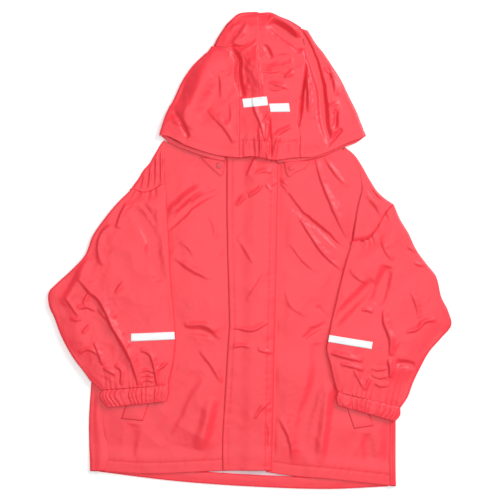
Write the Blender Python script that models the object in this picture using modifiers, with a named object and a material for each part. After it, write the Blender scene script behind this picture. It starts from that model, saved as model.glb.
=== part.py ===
"""A child's hooded rain jacket, laid flat on its back panel with the sleeves folded over the fronts.

Every piece of cloth is a thin wall lofted through short tables of sections. The tables are in
millimetres in the plane of the table top: x runs across the jacket, y from the hem to the hood.
Right and left are the wearer's, so the right half lies at negative x. Levels are the heights of
the middle of a wall above the table. The origin is on the table under the middle of the jacket.
"""
import math

import bmesh
import bpy

MM = 0.001                    # one millimetre in the scene's metres

# Driving dimensions, in millimetres
WALL = 1.0                    # thickness of one layer of cloth
GAP = 0.3                     # clearance between layers and at seams
LAYER = WALL + GAP            # rise from one layer to the next
SEAM = GAP / 2                # half of the gap at a seam
BACK_LEVEL = WALL / 2
FRONT_LEVEL = BACK_LEVEL + LAYER
HEM_TURN = 16.0               # depth of the turned-up hems
BRIM_TURN = 25.0              # depth of the elastic casing at the middle of the hood's brim
SIDE_BRIM_TURN = 12.0         # depth of the turned edge on the sides of the brim
FOLD_ANGLES = (45, 0, -45)    # steps round a folded edge, from the upper layer to the lower

# The zip lies under the storm flap, on a line that leans with the jacket
ZIP_TOP = (17.0, 128.0)       # x, y of the upper end of the chain
ZIP_END = (9.0, -324.0)       # x, y of the lower end
ZIP_TAPE = 15.0               # width of each tape
CHAIN_WIDTH = 6.0
CHAIN_HEIGHT = 1.6
SLIDER_Y = 116.0              # where the closed slider rests
SLIDER = (11.0, 14.0, 1.2)    # width, length, thickness
FLAP_WALL = 1.2               # two layers, stitched through

SNAP_RADIUS = 4.9
SNAP_TOP_RADIUS = 4.2
SNAP_HEIGHT = 1.0
TAPE_CLEARANCE = 0.5          # reflective strips and their panels are faceted apart

# Outlines of the back panel, from the neck to the hem, one row a section.
# edge: the folded or cut side of the back; end: where the cloth that wraps to the front stops.
# wrap level: how high the wrapped cloth lies, or None where an armhole is open.
#   right edge          right end        level    left edge          left end        level
BACK_SECTIONS = (
    ((-62.0, 181.5), None, None, (98.0, 181.5), None, None),
    ((-97.0, 173.0), None, None, (120.0, 168.0), None, None),
    ((-129.0, 165.0), (-125.0, 161.0), 1.8, (142.0, 155.0), (138.0, 151.0), 1.8),
    ((-142.0, 146.0), (-128.0, 148.0), 1.8, (158.0, 142.0), (153.0, 139.5), 1.8),
    ((-150.0, 132.0), (-128.5, 134.0), 1.9, (168.0, 127.0), (163.0, 125.0), 2.0),
    ((-161.0, 119.0), (-127.8, 121.0), 2.3, (181.0, 104.0), (168.0, 103.0), 2.6),
    ((-168.0, 107.0), (-128.6, 110.0), 2.9, (194.0, 85.0), (168.0, 88.0), 3.2),
    ((-174.0, 99.0), (-129.0, 104.5), 3.6, (206.0, 75.0), (161.0, 60.0), 3.8),
    ((-180.0, 90.0), (-128.0, 99.0), 4.4, (216.0, 68.0), (153.0, 9.0), 4.4),
    ((-196.0, 66.0), None, None, (214.0, 48.0), None, None),
    ((-212.0, 36.0), None, None, (212.0, 20.0), None, None),
    ((-228.0, 4.0), None, None, (213.0, -8.0), None, None),
    ((-237.0, -22.0), (-213.0, -22.0), 1.8, (216.0, -32.0), (206.0, -32.0), 1.8),
    ((-238.0, -80.0), (-214.0, -80.0), 1.8, (217.0, -80.0), (207.0, -80.0), 1.8),
    ((-238.0, -140.0), (-216.0, -140.0), 1.8, (217.0, -140.0), (207.0, -140.0), 1.8),
    ((-239.0, -200.0), (-219.0, -200.0), 1.8, (217.0, -200.0), (207.0, -200.0), 1.8),
    ((-242.0, -250.0), (-222.5, -250.0), 1.8, (219.0, -250.0), (209.0, -250.0), 1.8),
    ((-242.0, -290.0), (-214.5, -290.0), 1.8, (219.0, -305.0), (209.0, -305.0), 1.8),
    ((-241.0, -313.0), (-212.0, -313.0), 4.4, (219.0, -336.0), (209.0, -336.0), 4.4),
    ((-240.5, -332.5), (-217.0, -332.5), 4.4, (219.5, -355.5), (209.5, -354.5), 4.4),
)
NECK_MIDDLE = 18.0
SHOULDER_RIGHT = ((-62.0, 181.5), (-129.0, 165.0), (-180.0, 90.0))
SHOULDER_LEFT = ((98.0, 181.5), (142.0, 155.0), (216.0, 68.0))
SHOULDER_SEAM = 8             # the section that ends the shoulder and begins the armholes
SHOULDER_LEVEL = 4.4          # of the shoulders and the sleeves where they are sewn together
SEAM_SETBACK = 1.0            # the sleeve's curved upper edge keeps this far from the shoulder
RIGHT_SLEEVE_SEAM = ((-165.0, 86.0), (-147.0, 89.0))      # bends of the seam at the armhole
LEFT_SLEEVE_SEAM = ((202.0, 50.0), (192.0, 31.0), (180.0, 17.0))
BACK_HEM_BENDS = ((-113.0, -347.5), (15.0, -356.5), (120.0, -359.5))

# Sections of the fronts: outer end, then the y of the end at the zip
FRONT_RIGHT_SECTIONS = (
    ((-128.0, 148.0), 112.0),
    ((-128.5, 134.0), 100.0),
    ((-127.8, 121.0), 88.0),
    ((-128.6, 110.0), 74.0),
    ((-129.0, 104.5), 60.0),
    ((-128.0, 99.0), 46.0),
    ((-136.0, 75.0), 30.0),
    ((-160.0, 42.0), 8.0),
    ((-195.0, 10.0), -14.0),
    ((-213.0, -22.0), -38.0),
    ((-214.0, -80.0), -86.0),
    ((-216.0, -140.0), -143.0),
    ((-219.0, -200.0), -200.0),
    ((-222.5, -250.0), -250.0),
    ((-214.5, -290.0), -288.0),
    ((-212.0, -313.0), -311.0),
)
FRONT_LEFT_SECTIONS = (
    ((153.0, 139.5), 112.0),
    ((163.0, 125.0), 100.0),
    ((168.0, 103.0), 84.0),
    ((168.0, 88.0), 66.0),
    ((161.0, 60.0), 46.0),
    ((153.0, 9.0), 24.0),
    ((166.0, -8.0), 8.0),
    ((180.0, -18.0), -8.0),
    ((194.0, -26.0), -22.0),
    ((206.0, -32.0), -38.0),
    ((207.0, -80.0), -86.0),
    ((207.0, -140.0), -143.0),
    ((207.0, -200.0), -200.0),
    ((209.0, -250.0), -250.0),
    ((209.0, -305.0), -290.0),
    ((209.0, -336.0), -314.0),
)
FRONT_RIGHT_NECK = ((-125.0, 161.0), (-64.0, 177.5), (-48.0, 152.0), (-22.0, 135.0), (1.4, 129.0))
FRONT_LEFT_NECK = ((138.0, 151.0), (98.0, 174.0), (84.0, 150.0), (58.0, 134.0), (32.6, 129.0))
FRONT_RIGHT_HEM = ((-217.0, -332.5), (-166.0, -336.0), (-65.0, -333.0), (-6.6, -331.0))
FRONT_LEFT_HEM = ((209.5, -354.5), (163.0, -349.0), (118.0, -344.0), (70.0, -340.5), (24.6, -334.0))

# Storm flap, from the neck to the hem: y, x of the free edge, x of the sewn edge
FLAP_SECTIONS = (
    (146.0, -35.0, 42.0),
    (124.0, -35.0, 42.0),
    (108.0, -35.0, 41.8),
    (60.0, -35.0, 41.0),
    (0.0, -34.0, 40.0),
    (-67.0, -32.0, 38.5),
    (-112.0, -31.0, 37.5),
    (-165.0, -34.5, 36.0),
    (-217.0, -37.5, 35.0),
    (-285.0, -41.5, 33.5),
    (-310.0, -41.5, 33.0),
    (-331.5, -41.0, 33.0),
)

# Slanted pocket welts: lower outer corner, lower inner corner, upper inner corner, upper outer
WELT_RIGHT = ((-194.0, -254.0), (-161.0, -257.0), (-127.0, -158.0), (-158.5, -150.0))
WELT_LEFT = ((186.0, -264.5), (156.5, -268.8), (122.5, -170.0), (152.5, -162.0))

# Sleeves, from the seam at the armhole to the cuff. outer, inner: the folded edges.
# slit: widths of the lower layer beside the outer and the inner fold where the armhole is open.
#   outer edge       inner edge       slit
SLEEVE_RIGHT_SECTIONS = (
    ((-180.5, 89.0), (-127.6, 98.4), (8.0, 8.0)),
    ((-197.0, 73.0), (-126.5, 82.0), (12.0, 10.0)),
    ((-218.0, 48.0), (-125.0, 55.0), (16.0, 26.0)),
    ((-236.0, 22.0), (-123.5, 30.0), (20.0, 50.0)),
    ((-248.0, -8.0), (-122.0, 0.0), (21.0, 76.0)),
    ((-268.0, -30.0), (-120.5, -28.0), None),
    ((-290.0, -50.0), (-119.0, -48.0), None),
    ((-302.5, -64.0), (-118.0, -66.0), None),
    ((-302.0, -84.0), (-116.0, -84.0), None),
    ((-295.0, -100.0), (-114.5, -101.0), None),
    ((-283.0, -131.0), (-112.5, -131.0), None),
    ((-264.0, -164.0), (-114.5, -163.0), None),
    ((-250.0, -182.0), (-118.0, -182.0), None),
    ((-238.0, -198.0), (-122.0, -196.0), None),
    ((-223.5, -210.5), (-122.6, -203.0), None),
)
SLEEVE_LEFT_SECTIONS = (
    ((216.6, 67.2), (152.6, 8.4), (8.0, 6.0)),
    ((226.0, 45.0), (149.0, -3.0), (17.0, 8.0)),
    ((237.0, 27.0), (146.0, -12.0), (30.0, 18.0)),
    ((250.0, 0.0), (142.0, -26.0), (41.0, 38.0)),
    ((266.0, -22.0), (138.0, -42.0), (56.0, 62.0)),
    ((279.0, -38.5), (133.5, -60.0), None),
    ((288.0, -72.0), (128.0, -84.0), None),
    ((297.0, -90.0), (124.0, -101.0), None),
    ((302.5, -113.0), (120.5, -118.0), None),
    ((288.0, -131.5), (117.5, -134.0), None),
    ((270.0, -152.0), (115.0, -150.0), None),
    ((256.5, -175.5), (120.5, -172.0), None),
    ((244.0, -201.0), (125.0, -192.0), None),
    ((236.0, -222.0), (129.0, -206.0), None),
    ((226.0, -236.7), (132.0, -213.3), None),
)
# Elastic cuffs: outer edge, inner edge
CUFF_RIGHT_SECTIONS = (
    ((-222.0, -211.7), (-122.8, -203.8)),
    ((-223.5, -221.0), (-122.4, -215.0)),
    ((-214.5, -236.5), (-126.0, -227.5)),
)
CUFF_LEFT_SECTIONS = (
    ((225.4, -237.9), (131.6, -214.5)),
    ((223.5, -249.0), (129.8, -224.0)),
    ((217.5, -257.5), (132.5, -233.5)),
)
CUFF_GATHERS = 10             # gathers across each layer of a cuff
GATHER_RISE = 0.6

# Reflective strips on the sleeves: ends of the upper long edge, ends of the lower long edge
STRIP_RIGHT = (((-178.7, -125.4), (-116.0, -123.0)), ((-178.5, -137.0), (-116.2, -134.6)))
STRIP_LEFT = (((121.5, -128.0), (184.0, -137.9)), ((119.8, -138.6), (182.2, -148.7)))

# Hood sides, from the brim to the crown: folded edge, end of the upper layer, end of the lower
HOOD_RIGHT_SECTIONS = (
    ((-136.5, 172.5), (-16.0, 138.2), (-37.5, 133.5)),
    ((-133.0, 185.0), (-16.0, 152.0), (-50.0, 150.0)),
    ((-129.0, 198.0), (-16.0, 168.0), (-60.0, 167.0)),
    ((-123.0, 212.0), (-16.0, 190.0), (-63.0, 182.2)),
    ((-115.5, 225.0), (-16.0, 212.0), (-44.0, 182.2)),
    ((-104.0, 250.0), (-16.0, 237.0), (-25.0, 182.2)),
    ((-87.0, 276.0), (-19.0, 265.0), (-25.0, 225.0)),
    ((-70.0, 293.0), (-22.5, 288.0), (-31.0, 265.0)),
    ((-60.0, 303.0), (-24.3, 300.6), (-40.0, 298.0)),
)
HOOD_LEFT_SECTIONS = (
    ((174.5, 171.0), (75.0, 138.5), (53.5, 131.0)),
    ((170.0, 182.0), (75.0, 152.0), (70.0, 150.0)),
    ((166.0, 192.0), (75.0, 168.0), (90.0, 167.0)),
    ((159.5, 209.0), (72.0, 190.0), (97.0, 182.2)),
    ((150.0, 228.0), (76.5, 212.0), (80.0, 182.2)),
    ((139.0, 251.0), (79.5, 237.0), (65.0, 182.2)),
    ((125.0, 274.0), (83.0, 265.0), (65.0, 225.0)),
    ((109.0, 298.0), (83.8, 288.0), (74.0, 265.0)),
    ((100.5, 308.0), (83.0, 300.6), (82.0, 298.0)),
)
RIGHT_BRIM_BENDS = ((-98.0, 157.5), (-55.5, 143.5))        # between the folded edge and the middle
RIGHT_CHEEK_BENDS = ((-112.0, 157.0), (-83.0, 145.5))
LEFT_BRIM_BENDS = ((140.0, 157.0), (120.0, 148.5), (97.0, 140.0))
LEFT_CHEEK_BENDS = ((135.0, 152.5), (106.0, 140.0), (77.0, 134.0))
BRIM_MIDDLE_BENDS = ((5.0, 140.0), (35.0, 135.0), (60.0, 137.0))
# The middle panel above the last section of the sides
ARCH_MIDDLE = ((-28.0, 326.0), (0.0, 337.0), (32.0, 337.0), (60.0, 327.0))
HOOD_UPPER_ARCH = ((-41.0, 303.8),) + ARCH_MIDDLE + ((81.0, 318.0),)
HOOD_LOWER_ARCH = ((-49.0, 302.0),) + ARCH_MIDDLE + ((81.0, 314.0),)
CROWN = ((-57.5, 305.5), (-44.0, 330.0), (-28.0, 349.0), (-1.0, 359.2), (32.0, 359.2), (60.0, 347.0),
         (79.0, 335.5))
CROWN_HUB = (12.0, 300.0)     # the cloth turns over the crown away from this point
CROWN_TURN = 4.6              # how far inside the crown the turn begins
LEFT_SIDE_TIP = ((86.0, 326.0), (81.5, 322.0), (81.5, 320.0))

# The knife pleat of the middle panel: y, x of its folded edge
PLEAT_LINE = ((138.0, 26.0), (168.0, 23.0), (212.0, 28.0), (225.0, 27.0), (253.0, 16.5), (277.0, 12.0),
              (360.0, 12.0))
PLEAT_DEPTH = 12.0
PLEAT_RISE = 2 * LAYER
PLEAT_SLOPE = 45.0            # over which the lower layer comes down again beyond the pleat
RIGHT_HOOD_SEAM_X = -16.0     # at the strips
HOOD_STRIP_RIGHT = (((-11.7, 226.5), (24.0, 230.0)), ((-9.6, 213.3), (25.5, 216.5)))
HOOD_STRIP_LEFT = (((29.5, 219.5), (58.2, 220.0)), ((31.5, 206.7), (60.0, 207.0)))

# Corner tabs of the hood and their snaps
TAB_RIGHT = ((-75.0, 140.0), (-46.0, 112.5), (-43.5, 111.0), (-41.5, 113.0), (-37.5, 135.5))
TAB_LEFT = ((50.5, 134.0), (57.0, 111.0), (59.0, 110.0), (69.5, 117.0), (82.5, 122.4), (90.0, 134.5))
SNAP_RIGHT = (-46.5, 127.0)
SNAP_LEFT = (63.0, 123.5)

# Largest folds, one row a fold: start, end, half width, height
FRONT_FOLDS = (
    ((-97.0, 56.0), (-80.0, 71.0), 11.0, 2.2),
    ((-80.0, 71.0), (-58.0, 82.0), 11.0, 2.0),
    ((-76.0, -204.0), (-104.0, -262.0), 15.0, 2.2),
    ((-76.0, -144.0), (-58.0, -162.0), 10.0, 1.6),
    ((74.0, 68.0), (112.0, 36.0), 14.0, 2.6),
    ((106.0, 98.0), (122.0, 66.0), 11.0, 1.8),
    ((80.0, -156.0), (74.0, -250.0), 15.0, 2.2),
)
SLEEVE_FOLDS = (
    ((-240.0, -70.0), (-205.0, -125.0), 14.0, 2.0),
    ((-205.0, -125.0), (-180.0, -185.0), 13.0, 1.8),
    ((-170.0, 62.0), (-160.0, -20.0), 16.0, 1.4),
    ((205.0, -30.0), (190.0, -84.0), 16.0, 1.6),
    ((205.0, -98.0), (215.0, -158.0), 13.0, 2.0),
    ((170.0, -180.0), (200.0, -195.0), 12.0, 1.4),
)
HOOD_FOLDS = (
    ((-78.0, 270.0), (-100.0, 205.0), 13.0, 1.6),
    ((-50.0, 235.0), (-45.0, 185.0), 16.0, 1.2),
    ((98.0, 285.0), (112.0, 225.0), 13.0, 2.0),
    ((112.0, 225.0), (122.0, 180.0), 12.0, 1.8),
)

# Where the cloth comes down from the body to the table: start outside the body's edge, and length
SLEEVE_UNDER_SLOPE = (14.0, 30.0)
SLEEVE_OVER_SLOPE = (20.0, 40.0)
HOOD_UNDER_SLOPE = (8.0, 26.0)
SLEEVE_ROOM = 0.9             # air between the two layers of a sleeve over the body
SLEEVE_RISE = 3.7             # height of a sleeve's upper layer above its lower one on the table
WELT_CROSSING = (-110.0, 30.0)    # y where the sleeves begin to climb the welts, and the climb's length
HOOD_CROSSING = (168.0, 20.0)     # the same for the hood and the shoulders' wrapped cloth
HOOD_LEVEL = 5.8              # of the hood's upper layer
BRIM_LEVEL = 7.9              # of the same at the brim, above the tabs and the flap
BRIM_SLOPE = (238.0, 66.0)    # y where the hood begins to rise to the brim, and the rise's length
HOOD_FOLD_START = (172.0, 20.0)   # y below which the hood has no folds, and the length of their start
HEM_SLOPE = (42.0, 22.0)      # how far above a hem the front begins to rise, and the rise's length
HEM_SIDES = ((-58.0, 18.0), (76.0, 16.0))     # x where the side hems begin, and the rises' lengths
FOLD_REACH = 1.6              # a fold fades out at this many times its half width
CHAIN_SLOPE = (8.0, 14.0)     # the flap's level ground beside the chain, and the length of its slope
SLIDER_SLOPE = (8.0, 12.0)    # the same above and below the slider

SHELL_COLOUR = (0.90, 0.095, 0.125, 1.0)
ZIP_TAPE_COLOUR = (0.55, 0.05, 0.07, 1.0)
CHAIN_COLOUR = (0.5, 0.06, 0.08, 1.0)
SLIDER_COLOUR = (0.45, 0.05, 0.07, 1.0)
SNAP_COLOUR = (0.75, 0.05, 0.07, 1.0)
STRIP_COLOUR = (0.86, 0.87, 0.88, 1.0)


# ---- shapes of the levels -------------------------------------------------------------------

def smooth(value):
    """A ramp from 0 to 1 with level ends."""
    t = min(max(value, 0.0), 1.0)
    return t * t * (3.0 - 2.0 * t)


def mix(a, b, t):
    return a + (b - a) * t


def table_value(table, key, column):
    """Straight interpolation in a table whose first column rises or falls steadily."""
    rows = sorted(table)
    if key <= rows[0][0]:
        return rows[0][column]
    for low, high in zip(rows, rows[1:]):
        if key <= high[0]:
            return mix(low[column], high[column], (key - low[0]) / (high[0] - low[0]))
    return rows[-1][column]


def distance_to_segment(x, y, start, end):
    dx, dy = end[0] - start[0], end[1] - start[1]
    t = ((x - start[0]) * dx + (y - start[1]) * dy) / (dx * dx + dy * dy)
    t = min(max(t, 0.0), 1.0)
    return math.hypot(x - start[0] - t * dx, y - start[1] - t * dy)


def folds(table, x, y):
    """Height that the soft ridges of a table add at a point."""
    height = 0.0
    for start, end, width, rise in table:
        near = 1.0 - smooth(distance_to_segment(x, y, start, end) / (FOLD_REACH * width))
        height = max(height, rise * near)
    return height


def hem_y(x):
    """Lower edge of the fronts."""
    return table_value(FRONT_RIGHT_HEM + FRONT_LEFT_HEM, x, 1)


def hem_lift(x, y):
    """Rise of the fronts over the turned-up hems: two layers at the sides, one in the middle."""
    (right, right_slope), (left, left_slope) = HEM_SIDES
    sides = max(smooth((right - x) / right_slope), smooth((x - left) / left_slope))
    near = smooth((hem_y(x) + HEM_SLOPE[0] - y) / HEM_SLOPE[1])
    return (1.0 + sides) * LAYER * near


def front_level(x, y):
    return FRONT_LEVEL + hem_lift(x, y) + folds(FRONT_FOLDS, x, y)


def plain_front_level(x, y):
    return FRONT_LEVEL + hem_lift(x, y)


def back_level(x, y):
    return BACK_LEVEL


def zip_x(y):
    t = (ZIP_TOP[1] - y) / (ZIP_TOP[1] - ZIP_END[1])
    return mix(ZIP_TOP[0], ZIP_END[0], t)


def flap_level(x, y):
    """The flap lies on the fronts and rises over the chain and the slider."""
    over_fronts = plain_front_level(x, y) + WALL / 2 + GAP + FLAP_WALL / 2
    near_chain = 1.0 - smooth((abs(x - zip_x(y)) - CHAIN_SLOPE[0]) / CHAIN_SLOPE[1])
    near_slider = near_chain * (1.0 - smooth((abs(y - SLIDER_Y) - SLIDER_SLOPE[0]) / SLIDER_SLOPE[1]))
    return over_fronts + near_chain * (CHAIN_HEIGHT + GAP) + near_slider * (SLIDER[2] + GAP)


def body_edge_distance(x, y):
    """How far a point lies outside the side edge of the body."""
    if x < 0.0:
        rail = [(row[0][1], row[0][0]) for row in BACK_SECTIONS]
        return table_value(rail, y, 1) - x
    rail = [(row[3][1], row[3][0]) for row in BACK_SECTIONS]
    return x - table_value(rail, y, 1)


def sleeve_over_body(y):
    """Level of a sleeve's lower layer on the fronts, higher where it crosses a pocket welt."""
    return FRONT_LEVEL + LAYER + LAYER * smooth((WELT_CROSSING[0] - y) / WELT_CROSSING[1])


def sleeve_lower_level(x, y, over=None):
    if over is None:
        over = sleeve_over_body(y)
    start, length = SLEEVE_UNDER_SLOPE
    return mix(over, BACK_LEVEL, smooth((body_edge_distance(x, y) - start) / length))


def sleeve_upper_level(x, y):
    over = sleeve_over_body(y) + LAYER + SLEEVE_ROOM
    start, length = SLEEVE_OVER_SLOPE
    base = mix(over, BACK_LEVEL + SLEEVE_RISE, smooth((body_edge_distance(x, y) - start) / length))
    return base + folds(SLEEVE_FOLDS, x, y)


def cuff_upper_level(x, y):
    return sleeve_upper_level(x, y) + GATHER_RISE


def shoulder_distance(x, y):
    """Distance above the shoulder lines and beside the neck points; 0 on the body."""
    on_right = x < NECK_MIDDLE
    line = SHOULDER_RIGHT if on_right else SHOULDER_LEFT
    outward = -1.0 if on_right else 1.0
    nearest = min(distance_to_segment(x, y, a, b) for a, b in zip(line, line[1:]))
    beyond_neck = outward * (x - line[0][0]) < 0.0
    shoulder_y = table_value(line, x, 1)
    if y < shoulder_y and not beyond_neck:
        return 0.0
    if beyond_neck and y < line[0][1]:
        return 0.0
    return nearest


def hood_lower_level(x, y):
    over = FRONT_LEVEL + LAYER + LAYER * smooth((HOOD_CROSSING[0] - y) / HOOD_CROSSING[1])
    start, length = HOOD_UNDER_SLOPE
    return mix(over, BACK_LEVEL, smooth((shoulder_distance(x, y) - start) / length))


def hood_upper_level(x, y):
    brim = smooth((BRIM_SLOPE[0] - y) / BRIM_SLOPE[1])
    fold = folds(HOOD_FOLDS, x, y) * smooth((y - HOOD_FOLD_START[0]) / HOOD_FOLD_START[1])
    return mix(HOOD_LEVEL, BRIM_LEVEL, brim) + fold


# ---- rows of points -------------------------------------------------------------------------

def spread(points, count):
    """Points at even steps of length along a line through the given ones."""
    lengths = [0.0]
    for a, b in zip(points, points[1:]):
        lengths.append(lengths[-1] + math.dist(a, b))
    result = []
    for i in range(count):
        target = lengths[-1] * i / (count - 1)
        k = 0
        while k < len(points) - 2 and lengths[k + 1] < target:
            k += 1
        t = (target - lengths[k]) / (lengths[k + 1] - lengths[k])
        result.append((mix(points[k][0], points[k + 1][0], t), mix(points[k][1], points[k + 1][1], t)))
    return result


def lifted(row, level):
    return [(x, y, level(x, y)) for x, y in row]


def turned_edge(row, level, drop, depth):
    """Rows that carry a panel round its lower edge and back along its inside."""
    radius = abs(drop) / 2
    rows = []
    for angle in (90,) + FOLD_ANGLES + (-90,):
        a = math.radians(angle)
        reach = radius * (1.0 - math.cos(a))
        rows.append([(x, y + reach, level(x, y) + drop / 2 * (1.0 - math.sin(a))) for x, y in row])
    rows.append([(x, y + depth, level(x, y + depth) + drop) for x, y in row])
    return rows


def folded_edge(edge, inward, lower, upper):
    """Points round a folded edge, from the lower layer to the upper, and how far it reaches in."""
    radius = (upper - lower) / 2
    points = []
    for angle in reversed(FOLD_ANGLES):
        a = math.radians(angle)
        reach = radius * (1.0 - math.cos(a))
        x = edge[0] + inward[0] * reach
        y = edge[1] + inward[1] * reach
        points.append((x, y, (lower + upper) / 2 + radius * math.sin(a)))
    return points, radius


def direction(start, end):
    length = math.dist(start, end)
    return ((end[0] - start[0]) / length, (end[1] - start[1]) / length)


def moved(point, way, distance):
    return (point[0] + way[0] * distance, point[1] + way[1] * distance)


# ---- objects --------------------------------------------------------------------------------

def make_material(name, colour, roughness, metallic=0.0):
    material = bpy.data.materials.new(name)
    material.use_nodes = True
    shader = material.node_tree.nodes["Principled BSDF"]
    shader.inputs["Base Color"].default_value = colour
    shader.inputs["Roughness"].default_value = roughness
    shader.inputs["Metallic"].default_value = metallic
    return material


def finish_object(name, mesh, colour, roughness, metallic=0.0):
    mesh.materials.append(make_material(name, colour, roughness, metallic))
    thing = bpy.data.objects.new(name, mesh)
    collection.objects.link(thing)
    return thing


def cloth(name, rows, wall=WALL, colour=SHELL_COLOUR, roughness=0.5, tube=False):
    """A wall of cloth through rows of points; None leaves a place in a row without cloth."""
    mesh = bpy.data.meshes.new(name)
    build = bmesh.new()
    grid = [[p and build.verts.new((p[0] * MM, p[1] * MM, p[2] * MM)) for p in row] for row in rows]
    for near, far in zip(grid, grid[1:]):
        for i in range(len(near) - 1):
            corners = (near[i], near[i + 1], far[i + 1], far[i])
            if all(corners):
                build.faces.new(corners)
    if tube:
        bmesh.ops.remove_doubles(build, verts=build.verts, dist=0.00001)
    loose = [v for v in build.verts if not v.link_faces]
    bmesh.ops.delete(build, geom=loose, context="VERTS")
    bmesh.ops.recalc_face_normals(build, faces=build.faces)
    build.to_mesh(mesh)
    build.free()
    mesh.shade_smooth()
    mesh.set_sharp_from_angle(angle=math.radians(40))
    thing = finish_object(name, mesh, colour, roughness)
    solidify = thing.modifiers.new("wall", "SOLIDIFY")
    solidify.thickness = wall * MM
    solidify.offset = 0.0
    solidify.use_even_offset = True
    solidify.use_quality_normals = True
    return thing


def flat_outline(name, points, level, wall):
    """A flat piece cut to an outline."""
    curve = bpy.data.curves.new(name, "CURVE")
    curve.dimensions = "2D"
    curve.fill_mode = "BOTH"
    curve.extrude = wall / 2 * MM
    spline = curve.splines.new("POLY")
    spline.points.add(len(points) - 1)
    for spot, (x, y) in zip(spline.points, points):
        spot.co = (x * MM, y * MM, 0.0, 1.0)
    spline.use_cyclic_u = True
    thing = finish_object(name, curve, SHELL_COLOUR, 0.5)
    thing.location = (0.0, 0.0, level * MM)
    return thing


# ---- the body -------------------------------------------------------------------------------

BACK_COLUMNS = 9
WRAP_COLUMNS = 5
FRONT_COLUMNS = 8
BACK_HEM_ROW = HEM_TURN + 2.0   # how far above the hem the last straight section lies


def back_side(edge, end, wrap_level, bends):
    """One side of a section of the back: the wrapped cloth, its folded edge and the edge itself."""
    if end is None:
        return [None] * (WRAP_COLUMNS + len(FOLD_ANGLES)), edge
    inward = direction(edge, end)
    around, reach = folded_edge(edge, inward, BACK_LEVEL, wrap_level)
    path = [end] + list(reversed(bends)) + [moved(edge, inward, reach)]
    wrap = [(x, y, wrap_level) for x, y in spread(path, WRAP_COLUMNS)]
    start = (edge[0] + math.copysign(reach, -edge[0]), edge[1])
    return wrap + list(reversed(around)), start


def back_rows():
    rows = []
    last = len(BACK_SECTIONS) - 1
    for index, section in enumerate(BACK_SECTIONS):
        edge_r, end_r, level_r, edge_l, end_l, level_l = section
        at_seam = index == SHOULDER_SEAM
        side_r, start_r = back_side(edge_r, end_r, level_r, RIGHT_SLEEVE_SEAM if at_seam else ())
        side_l, start_l = back_side(edge_l, end_l, level_l, LEFT_SLEEVE_SEAM if at_seam else ())
        bends = ()
        if index >= last - 1:
            rise = BACK_HEM_ROW if index == last - 1 else 0.0
            bends = tuple((x, y + rise) for x, y in BACK_HEM_BENDS)
        middle = spread((start_r,) + bends + (start_l,), BACK_COLUMNS)
        rows.append(side_r + lifted(middle, back_level) + list(reversed(side_l)))
    hem = spread((start_r,) + bends + (start_l,), BACK_COLUMNS)
    blank = [None] * (WRAP_COLUMNS + len(FOLD_ANGLES))
    turned = turned_edge(hem[1:-1], back_level, LAYER, HEM_TURN)
    corner_r, corner_l = rows[-1][len(side_r)], rows[-1][-len(side_l) - 1]
    rows[-1] = side_r + [corner_r] + turned[0] + [corner_l] + list(reversed(side_l))
    for row in turned[1:]:
        rows.append(blank + [None] + row + [None] + blank)
    return rows


def front_rows(sections, neck, hem, side, columns):
    """Rows of a front from its neckline to its turned-up hem."""
    def inset(point):
        return (point[0] - side * GAP, point[1])

    rows = [lifted(spread((inset(neck[0]),) + neck[1:], columns), front_level)]
    for outer, zip_y in sections:
        near_zip = (zip_x(zip_y) + side * (ZIP_TAPE + 2 * GAP), zip_y)
        rows.append(lifted(spread((inset(outer), near_zip), columns), front_level))
    edge = spread((inset(hem[0]),) + hem[1:], columns)
    return rows + turned_edge(edge, plain_front_level, -LAYER, HEM_TURN)


def make_body():
    cloth("back_panel", back_rows())
    right = front_rows(FRONT_RIGHT_SECTIONS, FRONT_RIGHT_NECK, FRONT_RIGHT_HEM, -1, FRONT_COLUMNS)
    left = front_rows(FRONT_LEFT_SECTIONS, FRONT_LEFT_NECK, FRONT_LEFT_HEM, 1, FRONT_COLUMNS)
    cloth("front_right", right)
    cloth("front_left", left)


# ---- the zip and its flap -------------------------------------------------------------------

ZIP_SECTIONS = (ZIP_TOP[1] + 0.5, 60.0, 0.0, -80.0, -160.0, -240.0, -290.0, -312.0, ZIP_END[1])
SLIDER_BEVEL = 0.3


def make_zip():
    for name, side in (("zip_tape_right", -1), ("zip_tape_left", 1)):
        rows = []
        for y in ZIP_SECTIONS:
            near, far = zip_x(y) + side * GAP, zip_x(y) + side * (ZIP_TAPE + SEAM)
            rows.append(lifted(spread(((near, y), (far, y)), 3), plain_front_level))
        cloth(name, rows, colour=ZIP_TAPE_COLOUR, roughness=0.7)
    rows = []
    for y in ZIP_SECTIONS:
        across = ((zip_x(y) - CHAIN_WIDTH / 2, y), (zip_x(y) + CHAIN_WIDTH / 2, y))
        rise = WALL / 2 + GAP + CHAIN_HEIGHT / 2
        rows.append([(x, v, plain_front_level(x, v) + rise) for x, v in spread(across, 2)])
    cloth("zip_chain", rows, wall=CHAIN_HEIGHT, colour=CHAIN_COLOUR, roughness=0.4)
    mesh = bpy.data.meshes.new("zip_slider")
    build = bmesh.new()
    bmesh.ops.create_cube(build, size=1.0)
    bmesh.ops.scale(build, vec=[size * MM for size in SLIDER], verts=build.verts)
    build.to_mesh(mesh)
    build.free()
    slider = finish_object("zip_slider", mesh, SLIDER_COLOUR, 0.35, 0.2)
    floor = FRONT_LEVEL + WALL / 2 + GAP + CHAIN_HEIGHT + GAP
    slider.location = (zip_x(SLIDER_Y) * MM, SLIDER_Y * MM, (floor + SLIDER[2] / 2) * MM)
    bevel = slider.modifiers.new("rounded", "BEVEL")
    bevel.width = SLIDER_BEVEL * MM
    bevel.segments = 2


FLAP_CREST = 7.5              # half width of the flap's crest over the chain
FLAP_FOOT = 16.0              # half width of the whole rise


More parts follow.
